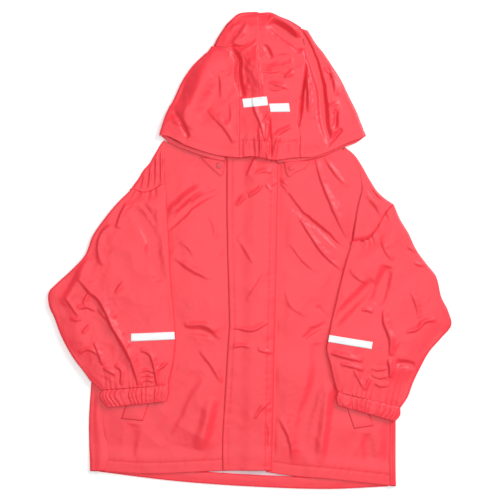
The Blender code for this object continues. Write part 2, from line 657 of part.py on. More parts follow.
def make_flap():
    rows = []
    for y, free, sewn in FLAP_SECTIONS:
        middle = zip_x(y)
        left_foot = middle - FLAP_FOOT
        across = (free, (free + left_foot) / 2, left_foot, middle - FLAP_CREST, middle + FLAP_CREST,
                  middle + FLAP_FOOT)
        xs = [x for x in across if x < sewn - 1.0] + [sewn]
        rows.append([(x, y, flap_level(x, y)) for x in xs])
    cloth("storm_flap", rows, wall=FLAP_WALL)


WELT_ROWS = 5
WELT_CLEARANCE = 0.02         # above the usual layer, because the welts and the fronts are faceted apart


def make_welts():
    def over_front(x, y):
        return plain_front_level(x, y) + LAYER + WELT_CLEARANCE

    for name, corners in (("pocket_welt_right", WELT_RIGHT), ("pocket_welt_left", WELT_LEFT)):
        low_outer, low_inner, high_inner, high_outer = corners
        outer = spread((low_outer, high_outer), WELT_ROWS)
        inner = spread((low_inner, high_inner), WELT_ROWS)
        cloth(name, [lifted(spread(pair, 3), over_front) for pair in zip(outer, inner)])


# ---- sleeves and cuffs ----------------------------------------------------------------------

LOWER_COLUMNS = 4
UPPER_COLUMNS = 9
UNDERARM_SEAM = 0.45          # where the seam under the sleeve lies, as a share of its width
FOLD_PROBE = 3.0              # a fold takes the levels found this far inside its edge


def ring(outer, inner, slit, levels, bends, upper_count, lower_count):
    """One section of a flattened tube, from the underarm seam round the outer fold and back.

    levels: of the lower layer beside the outer fold, of the upper layer, of the lower layer again.
    """
    lower, upper, lower_inner = levels
    inward = direction(outer, inner)
    outward = (-inward[0], -inward[1])
    width = math.dist(outer, inner)
    first, last = slit or (UNDERARM_SEAM * width, (1.0 - UNDERARM_SEAM) * width)
    near_outer, near_inner = moved(outer, inward, FOLD_PROBE), moved(inner, outward, FOLD_PROBE)
    around_outer, reach_outer = folded_edge(outer, inward, lower(*near_outer), upper(*near_outer))
    around_inner, reach_inner = folded_edge(inner, outward, lower_inner(*near_inner), upper(*near_inner))
    first = max(first, reach_outer + 1.0)
    last = max(last, reach_inner + 1.0)
    path = (moved(outer, inward, reach_outer),) + tuple(bends) + (moved(inner, outward, reach_inner),)
    row = lifted(spread((moved(outer, inward, first), path[0]), lower_count), lower)
    row += around_outer + lifted(spread(path, upper_count), upper) + list(reversed(around_inner))
    return row + lifted(spread((path[-1], moved(inner, outward, last)), lower_count), lower_inner)


def sleeve_rows(sections, seam_bends):
    rows = []
    slit_rows = sum(1 for section in sections if section[2])
    for index, (outer, inner, slit) in enumerate(sections):
        on_back = index < slit_rows - 1
        at_seam = index == 0

        def beside_outer(x, y, on_back=on_back):
            return sleeve_lower_level(x, y, FRONT_LEVEL if on_back else None)

        def upper(x, y, at_seam=at_seam):
            return SHOULDER_LEVEL if at_seam else sleeve_upper_level(x, y)

        bends = tuple((x, y - SEAM_SETBACK) for x, y in seam_bends) if at_seam else ()
        levels = (beside_outer, upper, sleeve_lower_level)
        rows.append(ring(outer, inner, slit, levels, bends, UPPER_COLUMNS, LOWER_COLUMNS))
    return rows


def cuff_rows(sections):
    count = 2 * CUFF_GATHERS + 1
    rows = []
    for outer, inner in sections:
        levels = (sleeve_lower_level, cuff_upper_level, sleeve_lower_level)
        row = ring(outer, inner, None, levels, (), count, CUFF_GATHERS + 1)
        lower_end = CUFF_GATHERS + 1
        upper_start = lower_end + len(FOLD_ANGLES)
        for i in range(count):
            x, y, z = row[upper_start + i]
            row[upper_start + i] = (x, y, z + (GATHER_RISE if i % 2 else -GATHER_RISE))
        rows.append(row)
    return rows


def make_sleeves():
    for side, sections, seam, cuff in (
            ("right", SLEEVE_RIGHT_SECTIONS, RIGHT_SLEEVE_SEAM, CUFF_RIGHT_SECTIONS),
            ("left", SLEEVE_LEFT_SECTIONS, LEFT_SLEEVE_SEAM, CUFF_LEFT_SECTIONS)):
        cloth("sleeve_" + side, sleeve_rows(sections, seam), tube=True)
        cloth("cuff_" + side, cuff_rows(cuff), tube=True)


# ---- the hood -------------------------------------------------------------------------------

HOOD_LOWER_COLUMNS = 5
HOOD_UPPER_COLUMNS = 7


def hood_side_rows(sections, brim_bends, cheek_bends, tip, side):
    rows = []
    for index, (fold, upper_end, lower_end) in enumerate(sections + ((tip,) if tip else ())):
        upper_end = (upper_end[0] + side * SEAM, upper_end[1])
        lower_end = (lower_end[0] + side * SEAM, lower_end[1])
        inward = direction(fold, upper_end)
        around, reach = folded_edge(fold, inward, hood_lower_level(*fold), hood_upper_level(*fold))
        turn = moved(fold, inward, reach)
        low_turn = moved(fold, direction(fold, lower_end), reach)
        at_brim = index == 0
        low_path = (lower_end,) + (tuple(reversed(cheek_bends)) if at_brim else ()) + (low_turn,)
        high_path = (turn,) + (tuple(brim_bends) if at_brim else ()) + (upper_end,)
        low = lifted(spread(low_path, HOOD_LOWER_COLUMNS), hood_lower_level)
        high_line = spread(high_path, HOOD_UPPER_COLUMNS)
        if at_brim:
            blank = [None] * (HOOD_LOWER_COLUMNS + len(FOLD_ANGLES) + 1)
            turned = turned_edge(high_line[1:], hood_upper_level, -LAYER, SIDE_BRIM_TURN)
            rows += [blank + row for row in reversed(turned[1:])]
            rows.append(low + around + [(*high_line[0], hood_upper_level(*high_line[0]))] + turned[0])
        else:
            rows.append(low + around + lifted(high_line, hood_upper_level))
    return rows


def pleat_x(y):
    return table_value(PLEAT_LINE, y, 1)


LEFT_OF_PLEAT = 5
RIGHT_OF_PLEAT = 4
ARCH_Y = 318.0                # where the rows of the arches and the crown meet the pleat
CROWN_Y = 350.0
LOWER_SECTIONS = 5            # sections of the sides before this one have no middle panel below them


def pleated_row(curve, y_for_pleat, upper):
    """One section of the middle panel: flat, doubled back under the pleat's edge, and flat again."""
    edge = pleat_x(y_for_pleat)
    back = edge - PLEAT_DEPTH
    start, end = curve[0][0], curve[-1][0]
    radius = LAYER / 2

    def at(x):
        return table_value(curve, x, 1)

    def top_rise(x):
        return PLEAT_RISE * smooth(1.0 - (edge - x) / (edge - start))

    def bottom_rise(x):
        return PLEAT_RISE * smooth(1.0 - (x - back) / PLEAT_SLOPE)

    points = []
    for i in range(LEFT_OF_PLEAT):
        x = mix(start, edge - radius, i / (LEFT_OF_PLEAT - 1))
        points.append((x, at(x), top_rise(x) if upper else 0.0))
    for angle in FOLD_ANGLES:
        a = math.radians(angle)
        x = edge - radius + radius * math.cos(a)
        rise = PLEAT_RISE - radius + radius * math.sin(a)
        points.append((x, at(x), rise if upper else PLEAT_RISE - rise))
    for x in (edge - radius, back + radius):
        points.append((x, at(x), LAYER))
    for angle in FOLD_ANGLES:
        a = math.radians(angle)
        x = back + radius - radius * math.cos(a)
        rise = radius + radius * math.sin(a)
        points.append((x, at(x), rise if upper else PLEAT_RISE - rise))
    for i in range(RIGHT_OF_PLEAT):
        x = mix(back + radius, end, i / (RIGHT_OF_PLEAT - 1))
        points.append((x, at(x), 0.0 if upper else bottom_rise(x)))
    return points


def hood_middle_rows():
    seams = [(right[1], left[1], right[2], left[2])
             for right, left in zip(HOOD_RIGHT_SECTIONS, HOOD_LEFT_SECTIONS)]
    rows = []
    for index, (start, end, _, _) in enumerate(seams):
        bends = BRIM_MIDDLE_BENDS if index == 0 else ()
        curve = ((start[0] + SEAM, start[1]),) + bends + ((end[0] - SEAM, end[1]),)
        flat = pleated_row(curve, (start[1] + end[1]) / 2, upper=True)
        if index == 0:
            outline = [(x, y) for x, y, _ in flat]
            rises = [rise for _, _, rise in flat]
            turned = turned_edge(outline, hood_upper_level, -PLEAT_RISE / 2, BRIM_TURN)
            rows.append([(x, y, z + rise) for (x, y, z), rise in zip(turned[0], rises)])
        else:
            rows.append([(x, y, hood_upper_level(x, y) + rise) for x, y, rise in flat])
    arch = pleated_row(HOOD_UPPER_ARCH, ARCH_Y, upper=True)
    rows.append([(x, y, hood_upper_level(x, y) + rise) for x, y, rise in arch])
    upper_crown = pleated_row(CROWN, CROWN_Y, upper=True)
    lower_crown = pleated_row(CROWN, CROWN_Y, upper=False)
    for angle in (90,) + FOLD_ANGLES + (-90,):
        a = math.radians(angle)
        row = []
        for (x, y, high), (_, _, low) in zip(upper_crown, lower_crown):
            way = direction((x, y), CROWN_HUB)
            top, bottom = hood_upper_level(x, y) + high, BACK_LEVEL + low
            radius = (top - bottom) / 2
            spot = moved((x, y), way, CROWN_TURN - radius * math.cos(a))
            row.append((*spot, (top + bottom) / 2 + radius * math.sin(a)))
        rows.append(row)
    arch = pleated_row(HOOD_LOWER_ARCH, ARCH_Y, upper=False)
    rows.append([(x, y, BACK_LEVEL + rise) for x, y, rise in arch])
    for _, _, start, end in reversed(seams[LOWER_SECTIONS:]):
        curve = ((start[0] + SEAM, start[1]), (end[0] - SEAM, end[1]))
        row = pleated_row(curve, ARCH_Y, upper=False)
        rows.append([(x, y, BACK_LEVEL + rise) for x, y, rise in row])
    return rows


def make_hood():
    cloth("hood_side_right",
          hood_side_rows(HOOD_RIGHT_SECTIONS, RIGHT_BRIM_BENDS, RIGHT_CHEEK_BENDS, None, -1))
    cloth("hood_side_left",
          hood_side_rows(HOOD_LEFT_SECTIONS, LEFT_BRIM_BENDS, LEFT_CHEEK_BENDS, LEFT_SIDE_TIP, 1))
    cloth("hood_middle", hood_middle_rows())


def make_tabs():
    for side, outline, snap in (("right", TAB_RIGHT, SNAP_RIGHT), ("left", TAB_LEFT, SNAP_LEFT)):
        level = FRONT_LEVEL + LAYER
        flat_outline("hood_tab_" + side, outline, level, WALL)
        mesh = bpy.data.meshes.new("snap_" + side)
        build = bmesh.new()
        bmesh.ops.create_cone(build, cap_ends=True, segments=24, radius1=SNAP_RADIUS * MM,
                              radius2=SNAP_TOP_RADIUS * MM, depth=SNAP_HEIGHT * MM)
        build.to_mesh(mesh)
        build.free()
        mesh.shade_smooth()
        mesh.set_sharp_from_angle(angle=math.radians(40))
        button = finish_object("snap_" + side, mesh, SNAP_COLOUR, 0.35)
        button.location = (snap[0] * MM, snap[1] * MM, (level + WALL / 2 + GAP + SNAP_HEIGHT / 2) * MM)


# ---- reflective strips ----------------------------------------------------------------------

def make_strip(name, edges, level, columns):
    rows = []
    for start, end in edges:
        line = spread((start, end), columns)
        rows.append([(x, y, level(x, y) + WALL + TAPE_CLEARANCE) for x, y in line])
    cloth(name, rows, colour=STRIP_COLOUR, roughness=0.35)


def make_strips():
    make_strip("sleeve_strip_right", STRIP_RIGHT, sleeve_upper_level, 9)
    make_strip("sleeve_strip_left", STRIP_LEFT, sleeve_upper_level, 9)

    def pleat_top(x, y):
        edge = pleat_x(y)
        rise = PLEAT_RISE * smooth(1.0 - (edge - x) / (edge - RIGHT_HOOD_SEAM_X))
        return hood_upper_level(x, y) + rise

    make_strip("hood_strip_right", HOOD_STRIP_RIGHT, pleat_top, 8)
    make_strip("hood_strip_left", HOOD_STRIP_LEFT, hood_upper_level, 5)


for old in list(bpy.data.objects):
    bpy.data.objects.remove(old, do_unlink=True)
collection = bpy.data.collections.new("kids_rain_jacket")
bpy.context.scene.collection.children.link(collection)

make_body()
make_zip()
make_flap()
make_welts()
make_sleeves()
make_hood()
make_tabs()
make_strips()
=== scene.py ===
"""Looks of a child's hooded rain jacket, laid flat with its sleeves folded over its fronts.

Lengths are in millimetres until a mesh is made. x runs across the jacket to the wearer's left, y from
the hem to the hood, z up from the table. A level is the height of the middle of a layer of cloth.
Every piece is a thin sheet on the form of its solid, with its creases placed as listed.
"""

import math

import bpy
import numpy as np
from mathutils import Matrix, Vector


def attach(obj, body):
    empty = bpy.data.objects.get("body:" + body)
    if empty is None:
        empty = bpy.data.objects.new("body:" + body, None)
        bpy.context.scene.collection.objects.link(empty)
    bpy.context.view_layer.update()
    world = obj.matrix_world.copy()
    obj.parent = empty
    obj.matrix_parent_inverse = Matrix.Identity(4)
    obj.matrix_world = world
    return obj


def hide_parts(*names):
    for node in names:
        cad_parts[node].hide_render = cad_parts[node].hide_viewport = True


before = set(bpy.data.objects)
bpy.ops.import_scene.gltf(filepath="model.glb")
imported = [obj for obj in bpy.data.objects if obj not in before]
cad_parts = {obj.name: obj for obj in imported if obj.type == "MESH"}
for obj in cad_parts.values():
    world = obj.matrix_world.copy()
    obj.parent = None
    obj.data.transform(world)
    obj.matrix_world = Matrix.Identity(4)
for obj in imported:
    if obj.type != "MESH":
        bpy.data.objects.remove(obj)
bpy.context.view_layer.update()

MM = 0.001
CLOTH = 0.45                  # thickness of one layer of the coated fabric
LAYER = 1.3                   # rise from one layer to the next
GAP = 0.3                     # from one solid to the next at a seam

BACK_LEVEL = 0.5
FRONT_LEVEL = BACK_LEVEL + LAYER
HEM_TURN = 16.0               # how far the cloth is turned back inside
BACK_HEM_TURN = 18.0
BRIM_TURN = 25.0              # depth of the elastic casing
SIDE_BRIM_TURN = 12.0
FRONT_PUFF = 2.2              # how far the fronts, sleeves and hood bulge between their edges
SLEEVE_PUFF = 2.0
HOOD_PUFF = 3.6

ZIP_TOP = (17.0, 128.0)
ZIP_END = (9.0, -324.0)
ZIP_TAPE = 15.0
SLIDER_Y = 116.0

# ---- outlines, as in the solids ---------------------------------------------------------------

NONE = float("nan")
# Back: right edge x, y, right end x, y, level, left edge x, y, left end x, y, level
BACK_SECTIONS = np.array((
    (-62, 181.5, NONE, NONE, NONE, 98, 181.5, NONE, NONE, NONE),
    (-97, 173, NONE, NONE, NONE, 120, 168, NONE, NONE, NONE),
    (-129, 165, -125, 161, 1.8, 142, 155, 138, 151, 1.8),
    (-142, 146, -128, 148, 1.8, 158, 142, 153, 139.5, 1.8),
    (-150, 132, -128.5, 134, 1.9, 168, 127, 163, 125, 2),
    (-161, 119, -127.8, 121, 2.3, 181, 104, 168, 103, 2.6),
    (-168, 107, -128.6, 110, 2.9, 194, 85, 168, 88, 3.2),
    (-174, 99, -129, 104.5, 3.6, 206, 75, 161, 60, 3.8),
    (-180, 90, -128, 99, 4.4, 216, 68, 153, 9, 4.4),
    (-196, 66, NONE, NONE, NONE, 214, 48, NONE, NONE, NONE),
    (-212, 36, NONE, NONE, NONE, 212, 20, NONE, NONE, NONE),
    (-228, 4, NONE, NONE, NONE, 213, -8, NONE, NONE, NONE),
    (-237, -22, -213, -22, 1.8, 216, -32, 206, -32, 1.8),
    (-238, -80, -214, -80, 1.8, 217, -80, 207, -80, 1.8),
    (-238, -140, -216, -140, 1.8, 217, -140, 207, -140, 1.8),
    (-239, -200, -219, -200, 1.8, 217, -200, 207, -200, 1.8),
    (-242, -250, -222.5, -250, 1.8, 219, -250, 209, -250, 1.8),
    (-242, -290, -214.5, -290, 1.8, 219, -305, 209, -305, 1.8),
    (-241, -313, -212, -313, 4.4, 219, -336, 209, -336, 4.4),
    (-240.5, -332.5, -217, -332.5, 4.4, 219.5, -355.5, 209.5, -354.5, 4.4),
))
SHOULDER_ROWS = (2, 8)        # sections whose cloth wraps over the shoulders
SIDE_ROWS = (12, 19)          # sections whose cloth wraps round the sides
SEAM_BEND_ROWS = (5, 8)       # between these the sleeve seam's curve comes in
HEM_BEND_ROWS = (16, 18)      # and here the hem's
RIGHT_SLEEVE_SEAM = ((-165, 86), (-147, 89))
LEFT_SLEEVE_SEAM = ((202, 50), (192, 31), (180, 17))
BACK_HEM_BENDS = ((-113, -347.5), (15, -356.5), (120, -359.5))
SHOULDER_LEVEL = 4.4

# Fronts: outer end x, y, then the y of the end at the zip
FRONT_RIGHT_SECTIONS = (
    (-128, 148, 112), (-128.5, 134, 100), (-127.8, 121, 88), (-128.6, 110, 74),
    (-129, 104.5, 60), (-128, 99, 46), (-136, 75, 30), (-160, 42, 8),
    (-195, 10, -14), (-213, -22, -38), (-214, -80, -86), (-216, -140, -143),
    (-219, -200, -200), (-222.5, -250, -250), (-214.5, -290, -288), (-212, -313, -311),
)
FRONT_LEFT_SECTIONS = (
    (153, 139.5, 112), (163, 125, 100), (168, 103, 84), (168, 88, 66),
    (161, 60, 46), (153, 9, 24), (166, -8, 8), (180, -18, -8),
    (194, -26, -22), (206, -32, -38), (207, -80, -86), (207, -140, -143),
    (207, -200, -200), (209, -250, -250), (209, -305, -290), (209, -336, -314),
)
FRONT_RIGHT_NECK = ((-125, 161), (-64, 177.5), (-48, 152), (-22, 135), (1.4, 129))
FRONT_LEFT_NECK = ((138, 151), (98, 174), (84, 150), (58, 134), (32.6, 129))
FRONT_RIGHT_HEM = ((-217, -332.5), (-166, -336), (-65, -333), (-6.6, -331))
FRONT_LEFT_HEM = ((209.5, -354.5), (163, -349), (118, -344), (70, -340.5), (24.6, -334))

# Storm flap: y, x of the free edge, x of the sewn edge
FLAP_SECTIONS = (
    (146, -35, 42), (124, -35, 42), (108, -35, 41.8), (60, -35, 41),
    (0, -34, 40), (-67, -32, 38.5), (-112, -31, 37.5), (-165, -34.5, 36),
    (-217, -37.5, 35), (-285, -41.5, 33.5), (-310, -41.5, 33), (-331.5, -41, 33),
)
WELT_RIGHT = ((-194, -254), (-161, -257), (-127, -158), (-158.5, -150))
WELT_LEFT = ((186, -264.5), (156.5, -268.8), (122.5, -170), (152.5, -162))

# Sleeves: outer edge x, y, inner edge x, y, widths of the lower layer beside the open armhole
SLEEVE_RIGHT = np.array((
    (-180.5, 89, -127.6, 98.4, 8, 8), (-197, 73, -126.5, 82, 12, 10),
    (-218, 48, -125, 55, 16, 26), (-236, 22, -123.5, 30, 20, 50),
    (-248, -8, -122, 0, 21, 76), (-268, -30, -120.5, -28, NONE, NONE),
    (-290, -50, -119, -48, NONE, NONE), (-302.5, -64, -118, -66, NONE, NONE),
    (-302, -84, -116, -84, NONE, NONE), (-295, -100, -114.5, -101, NONE, NONE),
    (-283, -131, -112.5, -131, NONE, NONE), (-264, -164, -114.5, -163, NONE, NONE),
    (-250, -182, -118, -182, NONE, NONE), (-238, -198, -122, -196, NONE, NONE),
    (-223.5, -210.5, -122.6, -203, NONE, NONE),
))
SLEEVE_LEFT = np.array((
    (216.6, 67.2, 152.6, 8.4, 8, 6), (226, 45, 149, -3, 17, 8),
    (237, 27, 146, -12, 30, 18), (250, 0, 142, -26, 41, 38),
    (266, -22, 138, -42, 56, 62), (279, -38.5, 133.5, -60, NONE, NONE),
    (288, -72, 128, -84, NONE, NONE), (297, -90, 124, -101, NONE, NONE),
    (302.5, -113, 120.5, -118, NONE, NONE), (288, -131.5, 117.5, -134, NONE, NONE),
    (270, -152, 115, -150, NONE, NONE), (256.5, -175.5, 120.5, -172, NONE, NONE),
    (244, -201, 125, -192, NONE, NONE), (236, -222, 129, -206, NONE, NONE),
    (226, -236.7, 132, -213.3, NONE, NONE),
))
CUFF_RIGHT = np.array((
    (-222, -211.7, -122.8, -203.8), (-226, -219, -122.4, -214), (-214.5, -236.5, -126, -227.5)))
CUFF_LEFT = np.array((
    (225.4, -237.9, 131.6, -214.5), (225, -248, 129.8, -224), (217.5, -257.5, 132.5, -233.5)))

STRIP_RIGHT = (((-178.7, -125.4), (-113.6, -122.9)), ((-178.5, -137), (-112.8, -134.2)))
STRIP_LEFT = (((118.9, -127.6), (184, -137.9)), ((117.4, -137.9), (182.2, -148.7)))

# Hood sides: folded edge x, y, end of the upper layer x, y, end of the lower layer x, y
HOOD_RIGHT_SECTIONS = (
    (-136.5, 172.5, -16, 138.2, -37.5, 133.5), (-133, 185, -16, 152, -50, 150),
    (-129, 198, -16, 168, -60, 167), (-123, 212, -16, 190, -63, 182.2),
    (-115.5, 225, -16, 212, -44, 182.2), (-104, 250, -16, 237, -25, 182.2),
    (-87, 276, -19, 265, -25, 225), (-70, 293, -22.5, 288, -31, 265),
    (-60, 303, -24.3, 300.6, -40, 298),
)
HOOD_LEFT_SECTIONS = (
    (174.5, 171, 75, 138.5, 39, 131.5), (170, 182, 75, 152, 70, 150),
    (166, 192, 75, 168, 90, 167), (159.5, 209, 72, 190, 97, 182.2),
    (150, 228, 76.5, 212, 80, 182.2), (139, 251, 79.5, 237, 65, 182.2),
    (125, 274, 83, 265, 65, 225), (109, 298, 83.8, 288, 74, 265),
    (100.5, 308, 83, 300.6, 82, 298),
)
LEFT_SIDE_TIP = (87, 329.5, 74, 333.5, 74, 331)
RIGHT_SIDE_TIP = (-58.5, 306, -25, 304.5, -40, 299)
RIGHT_BRIM_BENDS = ((-129, 171.5), (-111, 165), (-98, 157.5), (-83, 152), (-55.5, 143.5),
                    (-34.5, 140))
RIGHT_CHEEK_BENDS = ((-126, 165), (-112, 157), (-83, 145.5), (-55.5, 137))
LEFT_BRIM_BENDS = ((156, 164), (139.5, 157), (120.6, 148.5), (97, 139.8))
LEFT_CHEEK_BENDS = ((165, 165), (135, 152.5), (106, 140), (77, 134))
BRIM_MIDDLE_BENDS = ((5, 140.2), (20, 137.5), (35, 134.8), (50, 135.6), (62, 137.6))
ARCH_MIDDLE = ((-28, 326), (0, 337), (32, 337), (60, 327))
HOOD_UPPER_ARCH = ((-41, 303.8),) + ARCH_MIDDLE + ((81, 318),)
HOOD_LOWER_ARCH = ((-49, 302),) + ARCH_MIDDLE + ((81, 314),)
CROWN = ((-57.5, 305.5), (-51, 319), (-44, 330), (-37, 340.5), (-28, 349), (-19.5, 356),
         (-1, 359.2), (16.5, 359.2), (32, 359.2), (46.5, 352.5), (60, 347), (79, 335.5))
CROWN_HUB = (12, 300)
CROWN_TURN = 4.6              # how far in from its outline the crown's upper layer turns under
CROWN_CUT = 3                 # rows of the upper layer that this turn replaces

PLEAT_LINE = ((138, 26), (168, 23), (198, 27), (212, 28), (225, 27), (240, 20.5),
              (253, 16.5), (277, 12), (318, 12), (360, 12))
PLEAT_DEPTH = 12.0
PLEAT_RISE = 1.7              # of its visible fold
HOOD_STRIP_RIGHT = (((-11.7, 226.5), (25, 230)), ((-9.6, 213.3), (27, 216.6)))
HOOD_STRIP_LEFT = (((28.6, 219.4), (58.2, 220)), ((30.8, 206.7), (60, 207)))
TAB_RIGHT = ((-75, 140), (-46.5, 113), (-43.5, 111), (-41.8, 113), (-37.5, 135.5))
TAB_LEFT = ((50.5, 134), (57, 111.5), (59, 110), (69.5, 117), (82.5, 122.4), (90, 134.5))
SNAP_RIGHT = (-46.5, 127)
SNAP_LEFT = (63, 123.5)
SHOULDER_RIGHT = ((-62, 181.5), (-129, 165), (-180, 90))
SHOULDER_LEFT = ((98, 181.5), (142, 155), (216, 68))
NECK_MIDDLE = 18.0            # its x

# ---- creases ----------------------------------------------------------------------------------
# height, width of the steep side, width of the gentle side, points. The steep side lies at the right
# hand of someone who walks along the points. A negative height is a trough. STRENGTH multiplies them all.

FRONT_CREASES = (
    (-2.6, 4.0, 9.0, ((-134, 24), (-112, 41), (-102, 51), (-91, 61), (-79, 71), (-63, 80), (-38, 90))),
    (1.3, 12.0, 10.0, ((-126, 55), (-108, 68), (-92, 82), (-70, 95))),
    (-1.0, 3.0, 5.0, ((-103, 57), (-96, 66), (-88, 75))),
    (0.7, 2.5, 8.0, ((-36, 9), (-41, -2), (-47, -12))),
    (0.9, 4.0, 12.0, ((-114, -12), (-90, -28), (-60, -44))),
    (-2.0, 5.0, 9.0, ((-116, -121), (-84, -123), (-69, -124), (-55, -133), (-44, -151), (-36, -164))),
    (0.9, 7.0, 10.0, ((-98, -114), (-72, -112), (-50, -122))),
    (1.0, 3.5, 10.0, ((-76, -151), (-59, -172), (-42, -200))),
    (-1.2, 15.0, 15.0, ((-74, -182), (-97, -212), (-118, -258), (-142, -288))),
    (1.2, 14.0, 14.0, ((-56, -222), (-66, -262), (-78, -300))),
    (0.6, 2.5, 4.0, ((-48, -271), (-44, -279), (-41, -287))),
    (-0.9, 4.0, 5.0, ((-110, -141), (-112, -162), (-113, -186))),
    (-1.2, 14.0, 14.0, ((-176, -262), (-180, -300), (-184, -330))),
    (0.5, 3.0, 8.0, ((-104, 12), (-92, 2), (-84, -12))),
    (0.5, 4.0, 9.0, ((-62, 52), (-54, 36), (-52, 16))),
    (-2.6, 4.0, 9.0, ((150, -6), (135, 5), (118, 22), (102, 36), (79, 54), (55, 86))),
    (1.2, 3.0, 12.0, ((97, 141), (108, 103), (120, 73), (141, 28), (150, 12))),
    (1.0, 3.0, 10.0, ((68, 60), (88, 26), (110, -5), (142, -34))),
    (0.9, 3.0, 8.0, ((107, 146), (126, 118), (146, 94))),
    (-1.3, 4.0, 7.0, ((80, -134), (97, -121), (118, -112))),
    (-1.0, 3.5, 6.0, ((100, -84), (112, -98), (124, -110))),
    (-1.2, 15.0, 15.0, ((101, -140), (98, -201), (80, -264), (74, -300))),
    (1.2, 12.0, 12.0, ((120, -200), (112, -260), (104, -320))),
    (1.1, 4.0, 12.0, ((44, -252), (61, -288), (64, -322))),
    (-1.0, 13.0, 13.0, ((176, -276), (180, -316), (184, -346))),
    (0.8, 2.5, 5.0, ((42, 107), (50, 103), (58, 96))),
    (0.6, 2.5, 5.0, ((45, 100), (52, 95), (56, 88))),
    (0.5, 3.0, 8.0, ((60, 10), (78, -14), (100, -34))),
    (0.5, 4.0, 9.0, ((52, -60), (62, -84), (84, -100))),
)
FLAP_CREASES = (
    (0.9, 2.5, 7.0, ((7, 138), (1, 124), (-5, 112))),
    (0.7, 2.5, 7.0, ((10, 113), (15, 117), (22, 118.5), (31, 115))),
    (0.9, 2.5, 7.0, ((-20, 66), (-12, 75), (-5, 82))),
    (0.8, 2.5, 6.0, ((-2, 80), (10, 88), (20, 99))),
    (0.8, 2.0, 5.0, ((23, 99), (28, 93), (32, 88))),
    (0.8, 2.0, 5.0, ((33, 96), (36, 100), (41, 102))),
    (0.8, 2.5, 8.0, ((-29, -118), (-16, -118), (-4, -121), (7, -120), (16, -115), (28, -108))),
    (0.8, 2.5, 7.0, ((-30, -149), (-21, -145), (-9, -144), (0, -146))),
    (0.8, 2.5, 7.0, ((11, -149), (22, -153), (31, -154), (37, -154))),
    (0.8, 3.0, 7.0, ((7, -253), (15, -241), (30, -227))),
    (-0.9, 3.0, 3.0, ((24, -262), (26, -276), (25, -290), (27, -300))),
    (0.7, 2.0, 3.0, ((30, -262), (31, -278), (30, -292))),
    (0.5, 3.0, 10.0, ((-20, 20), (-8, 2), (4, -20))),
    (0.4, 3.0, 10.0, ((24, -30), (8, -56), (-6, -76))),
)
SLEEVE_CREASES = (
    (2.0, 3.5, 15.0, ((-258, -42), (-238, -65), (-229, -72), (-218, -90), (-205, -117), (-189, -143),
                      (-175, -175), (-167, -203))),
    (0.8, 3.0, 8.0, ((-229, -88), (-214, -105), (-195, -136), (-181, -164))),
    (1.0, 9.0, 14.0, ((-244, -10), (-254, -36), (-266, -58), (-281, -82))),
    (0.8, 2.5, 6.0, ((-240, -62), (-245, -70), (-250, -81))),
    (1.0, 2.5, 7.0, ((-260, -88), (-243, -86), (-232, -92))),
    (0.9, 2.5, 6.0, ((-277, -71), (-264, -90), (-257, -100))),
    (0.7, 2.5, 5.0, ((-270, -103), (-260, -105), (-251, -103))),
    (0.9, 3.0, 6.0, ((-240, -112), (-246, -118), (-252, -125))),
    (1.3, 3.0, 8.0, ((-234, -138), (-226, -157), (-221, -173))),
    (0.9, 2.5, 6.0, ((-256, -155), (-244, -149), (-225, -158))),
    (1.2, 4.0, 11.0, ((-185, 70), (-194, 53), (-200, 33))),
    (1.1, 4.0, 11.0, ((-209, 37), (-221, 27), (-228, 8), (-227, -8), (-221, -23))),
    (-2.0, 13.0, 17.0, ((-178, 66), (-165, 46), (-149, 18), (-146, -10), (-136, -48))),
    (-0.9, 6.0, 9.0, ((-163, 72), (-149, 52), (-140, 36))),
    (0.8, 3.0, 8.0, ((-190, -48), (-196, -56), (-202, -65))),
    (1.0, 2.5, 7.0, ((-220, -177), (-210, -182), (-202, -188))),
    (1.0, 2.5, 7.0, ((-203, -174), (-195, -178), (-194, -202))),
    (1.3, 2.5, 10.0, ((-165, -150), (-151, -156), (-145, -170), (-142, -187), (-138, -204))),
    (0.9, 2.5, 6.0, ((-140, -181), (-132, -175), (-123, -167))),
    (0.8, 2.0, 4.0, ((-164, -182), (-154, -180), (-144, -184))),
    (0.8, 2.0, 4.0, ((-163, -190), (-153, -188), (-144, -191))),
    (0.7, 2.0, 4.0, ((-161, -197), (-152, -195), (-146, -199))),
    (1.5, 3.0, 12.0, ((200, -90), (201, -108), (210, -133), (210, -158))),
    (0.9, 2.5, 7.0, ((167, -90), (175, -90), (184, -94))),
    (1.3, 3.0, 9.0, ((234, -123), (251, -119), (262, -108), (279, -105))),
    (-2.0, 14.0, 15.0, ((207, -24), (199, -52), (190, -82))),
    (-1.4, 13.0, 13.0, ((186, -46), (156, -78), (122, -112))),
    (-2.0, 7.0, 8.0, ((219, -169), (232, -171), (248, -174))),
    (1.2, 3.0, 8.0, ((207, -163), (210, -176), (210, -191))),
    (1.2, 3.0, 9.0, ((118, -154), (148, -162), (169, -167))),
    (1.1, 3.0, 8.0, ((136, -171), (154, -175), (171, -181))),
    (0.9, 2.5, 6.0, ((155, -179), (163, -194), (172, -210))),
    (0.9, 2.5, 6.0, ((180, -191), (176, -200), (173, -210))),
    (0.8, 2.0, 5.0, ((181, -177), (192, -180), (205, -178))),
    (0.8, 2.0, 5.0, ((182, -187), (194, -192), (206, -190))),
    (0.8, 2.0, 5.0, ((186, -199), (196, -204), (208, -203))),
    (0.8, 3.0, 8.0, ((245, -18), (253, -22), (264, -23))),
    (0.8, 3.0, 8.0, ((235, 6), (242, 2), (250, -4))),
    (0.7, 4.0, 10.0, ((196, 20), (204, -2), (214, -16))),
    (0.7, 3.0, 8.0, ((240, -60), (250, -84), (254, -104))),
    (0.6, 3.0, 8.0, ((150, -30), (164, -44), (176, -50))),
)
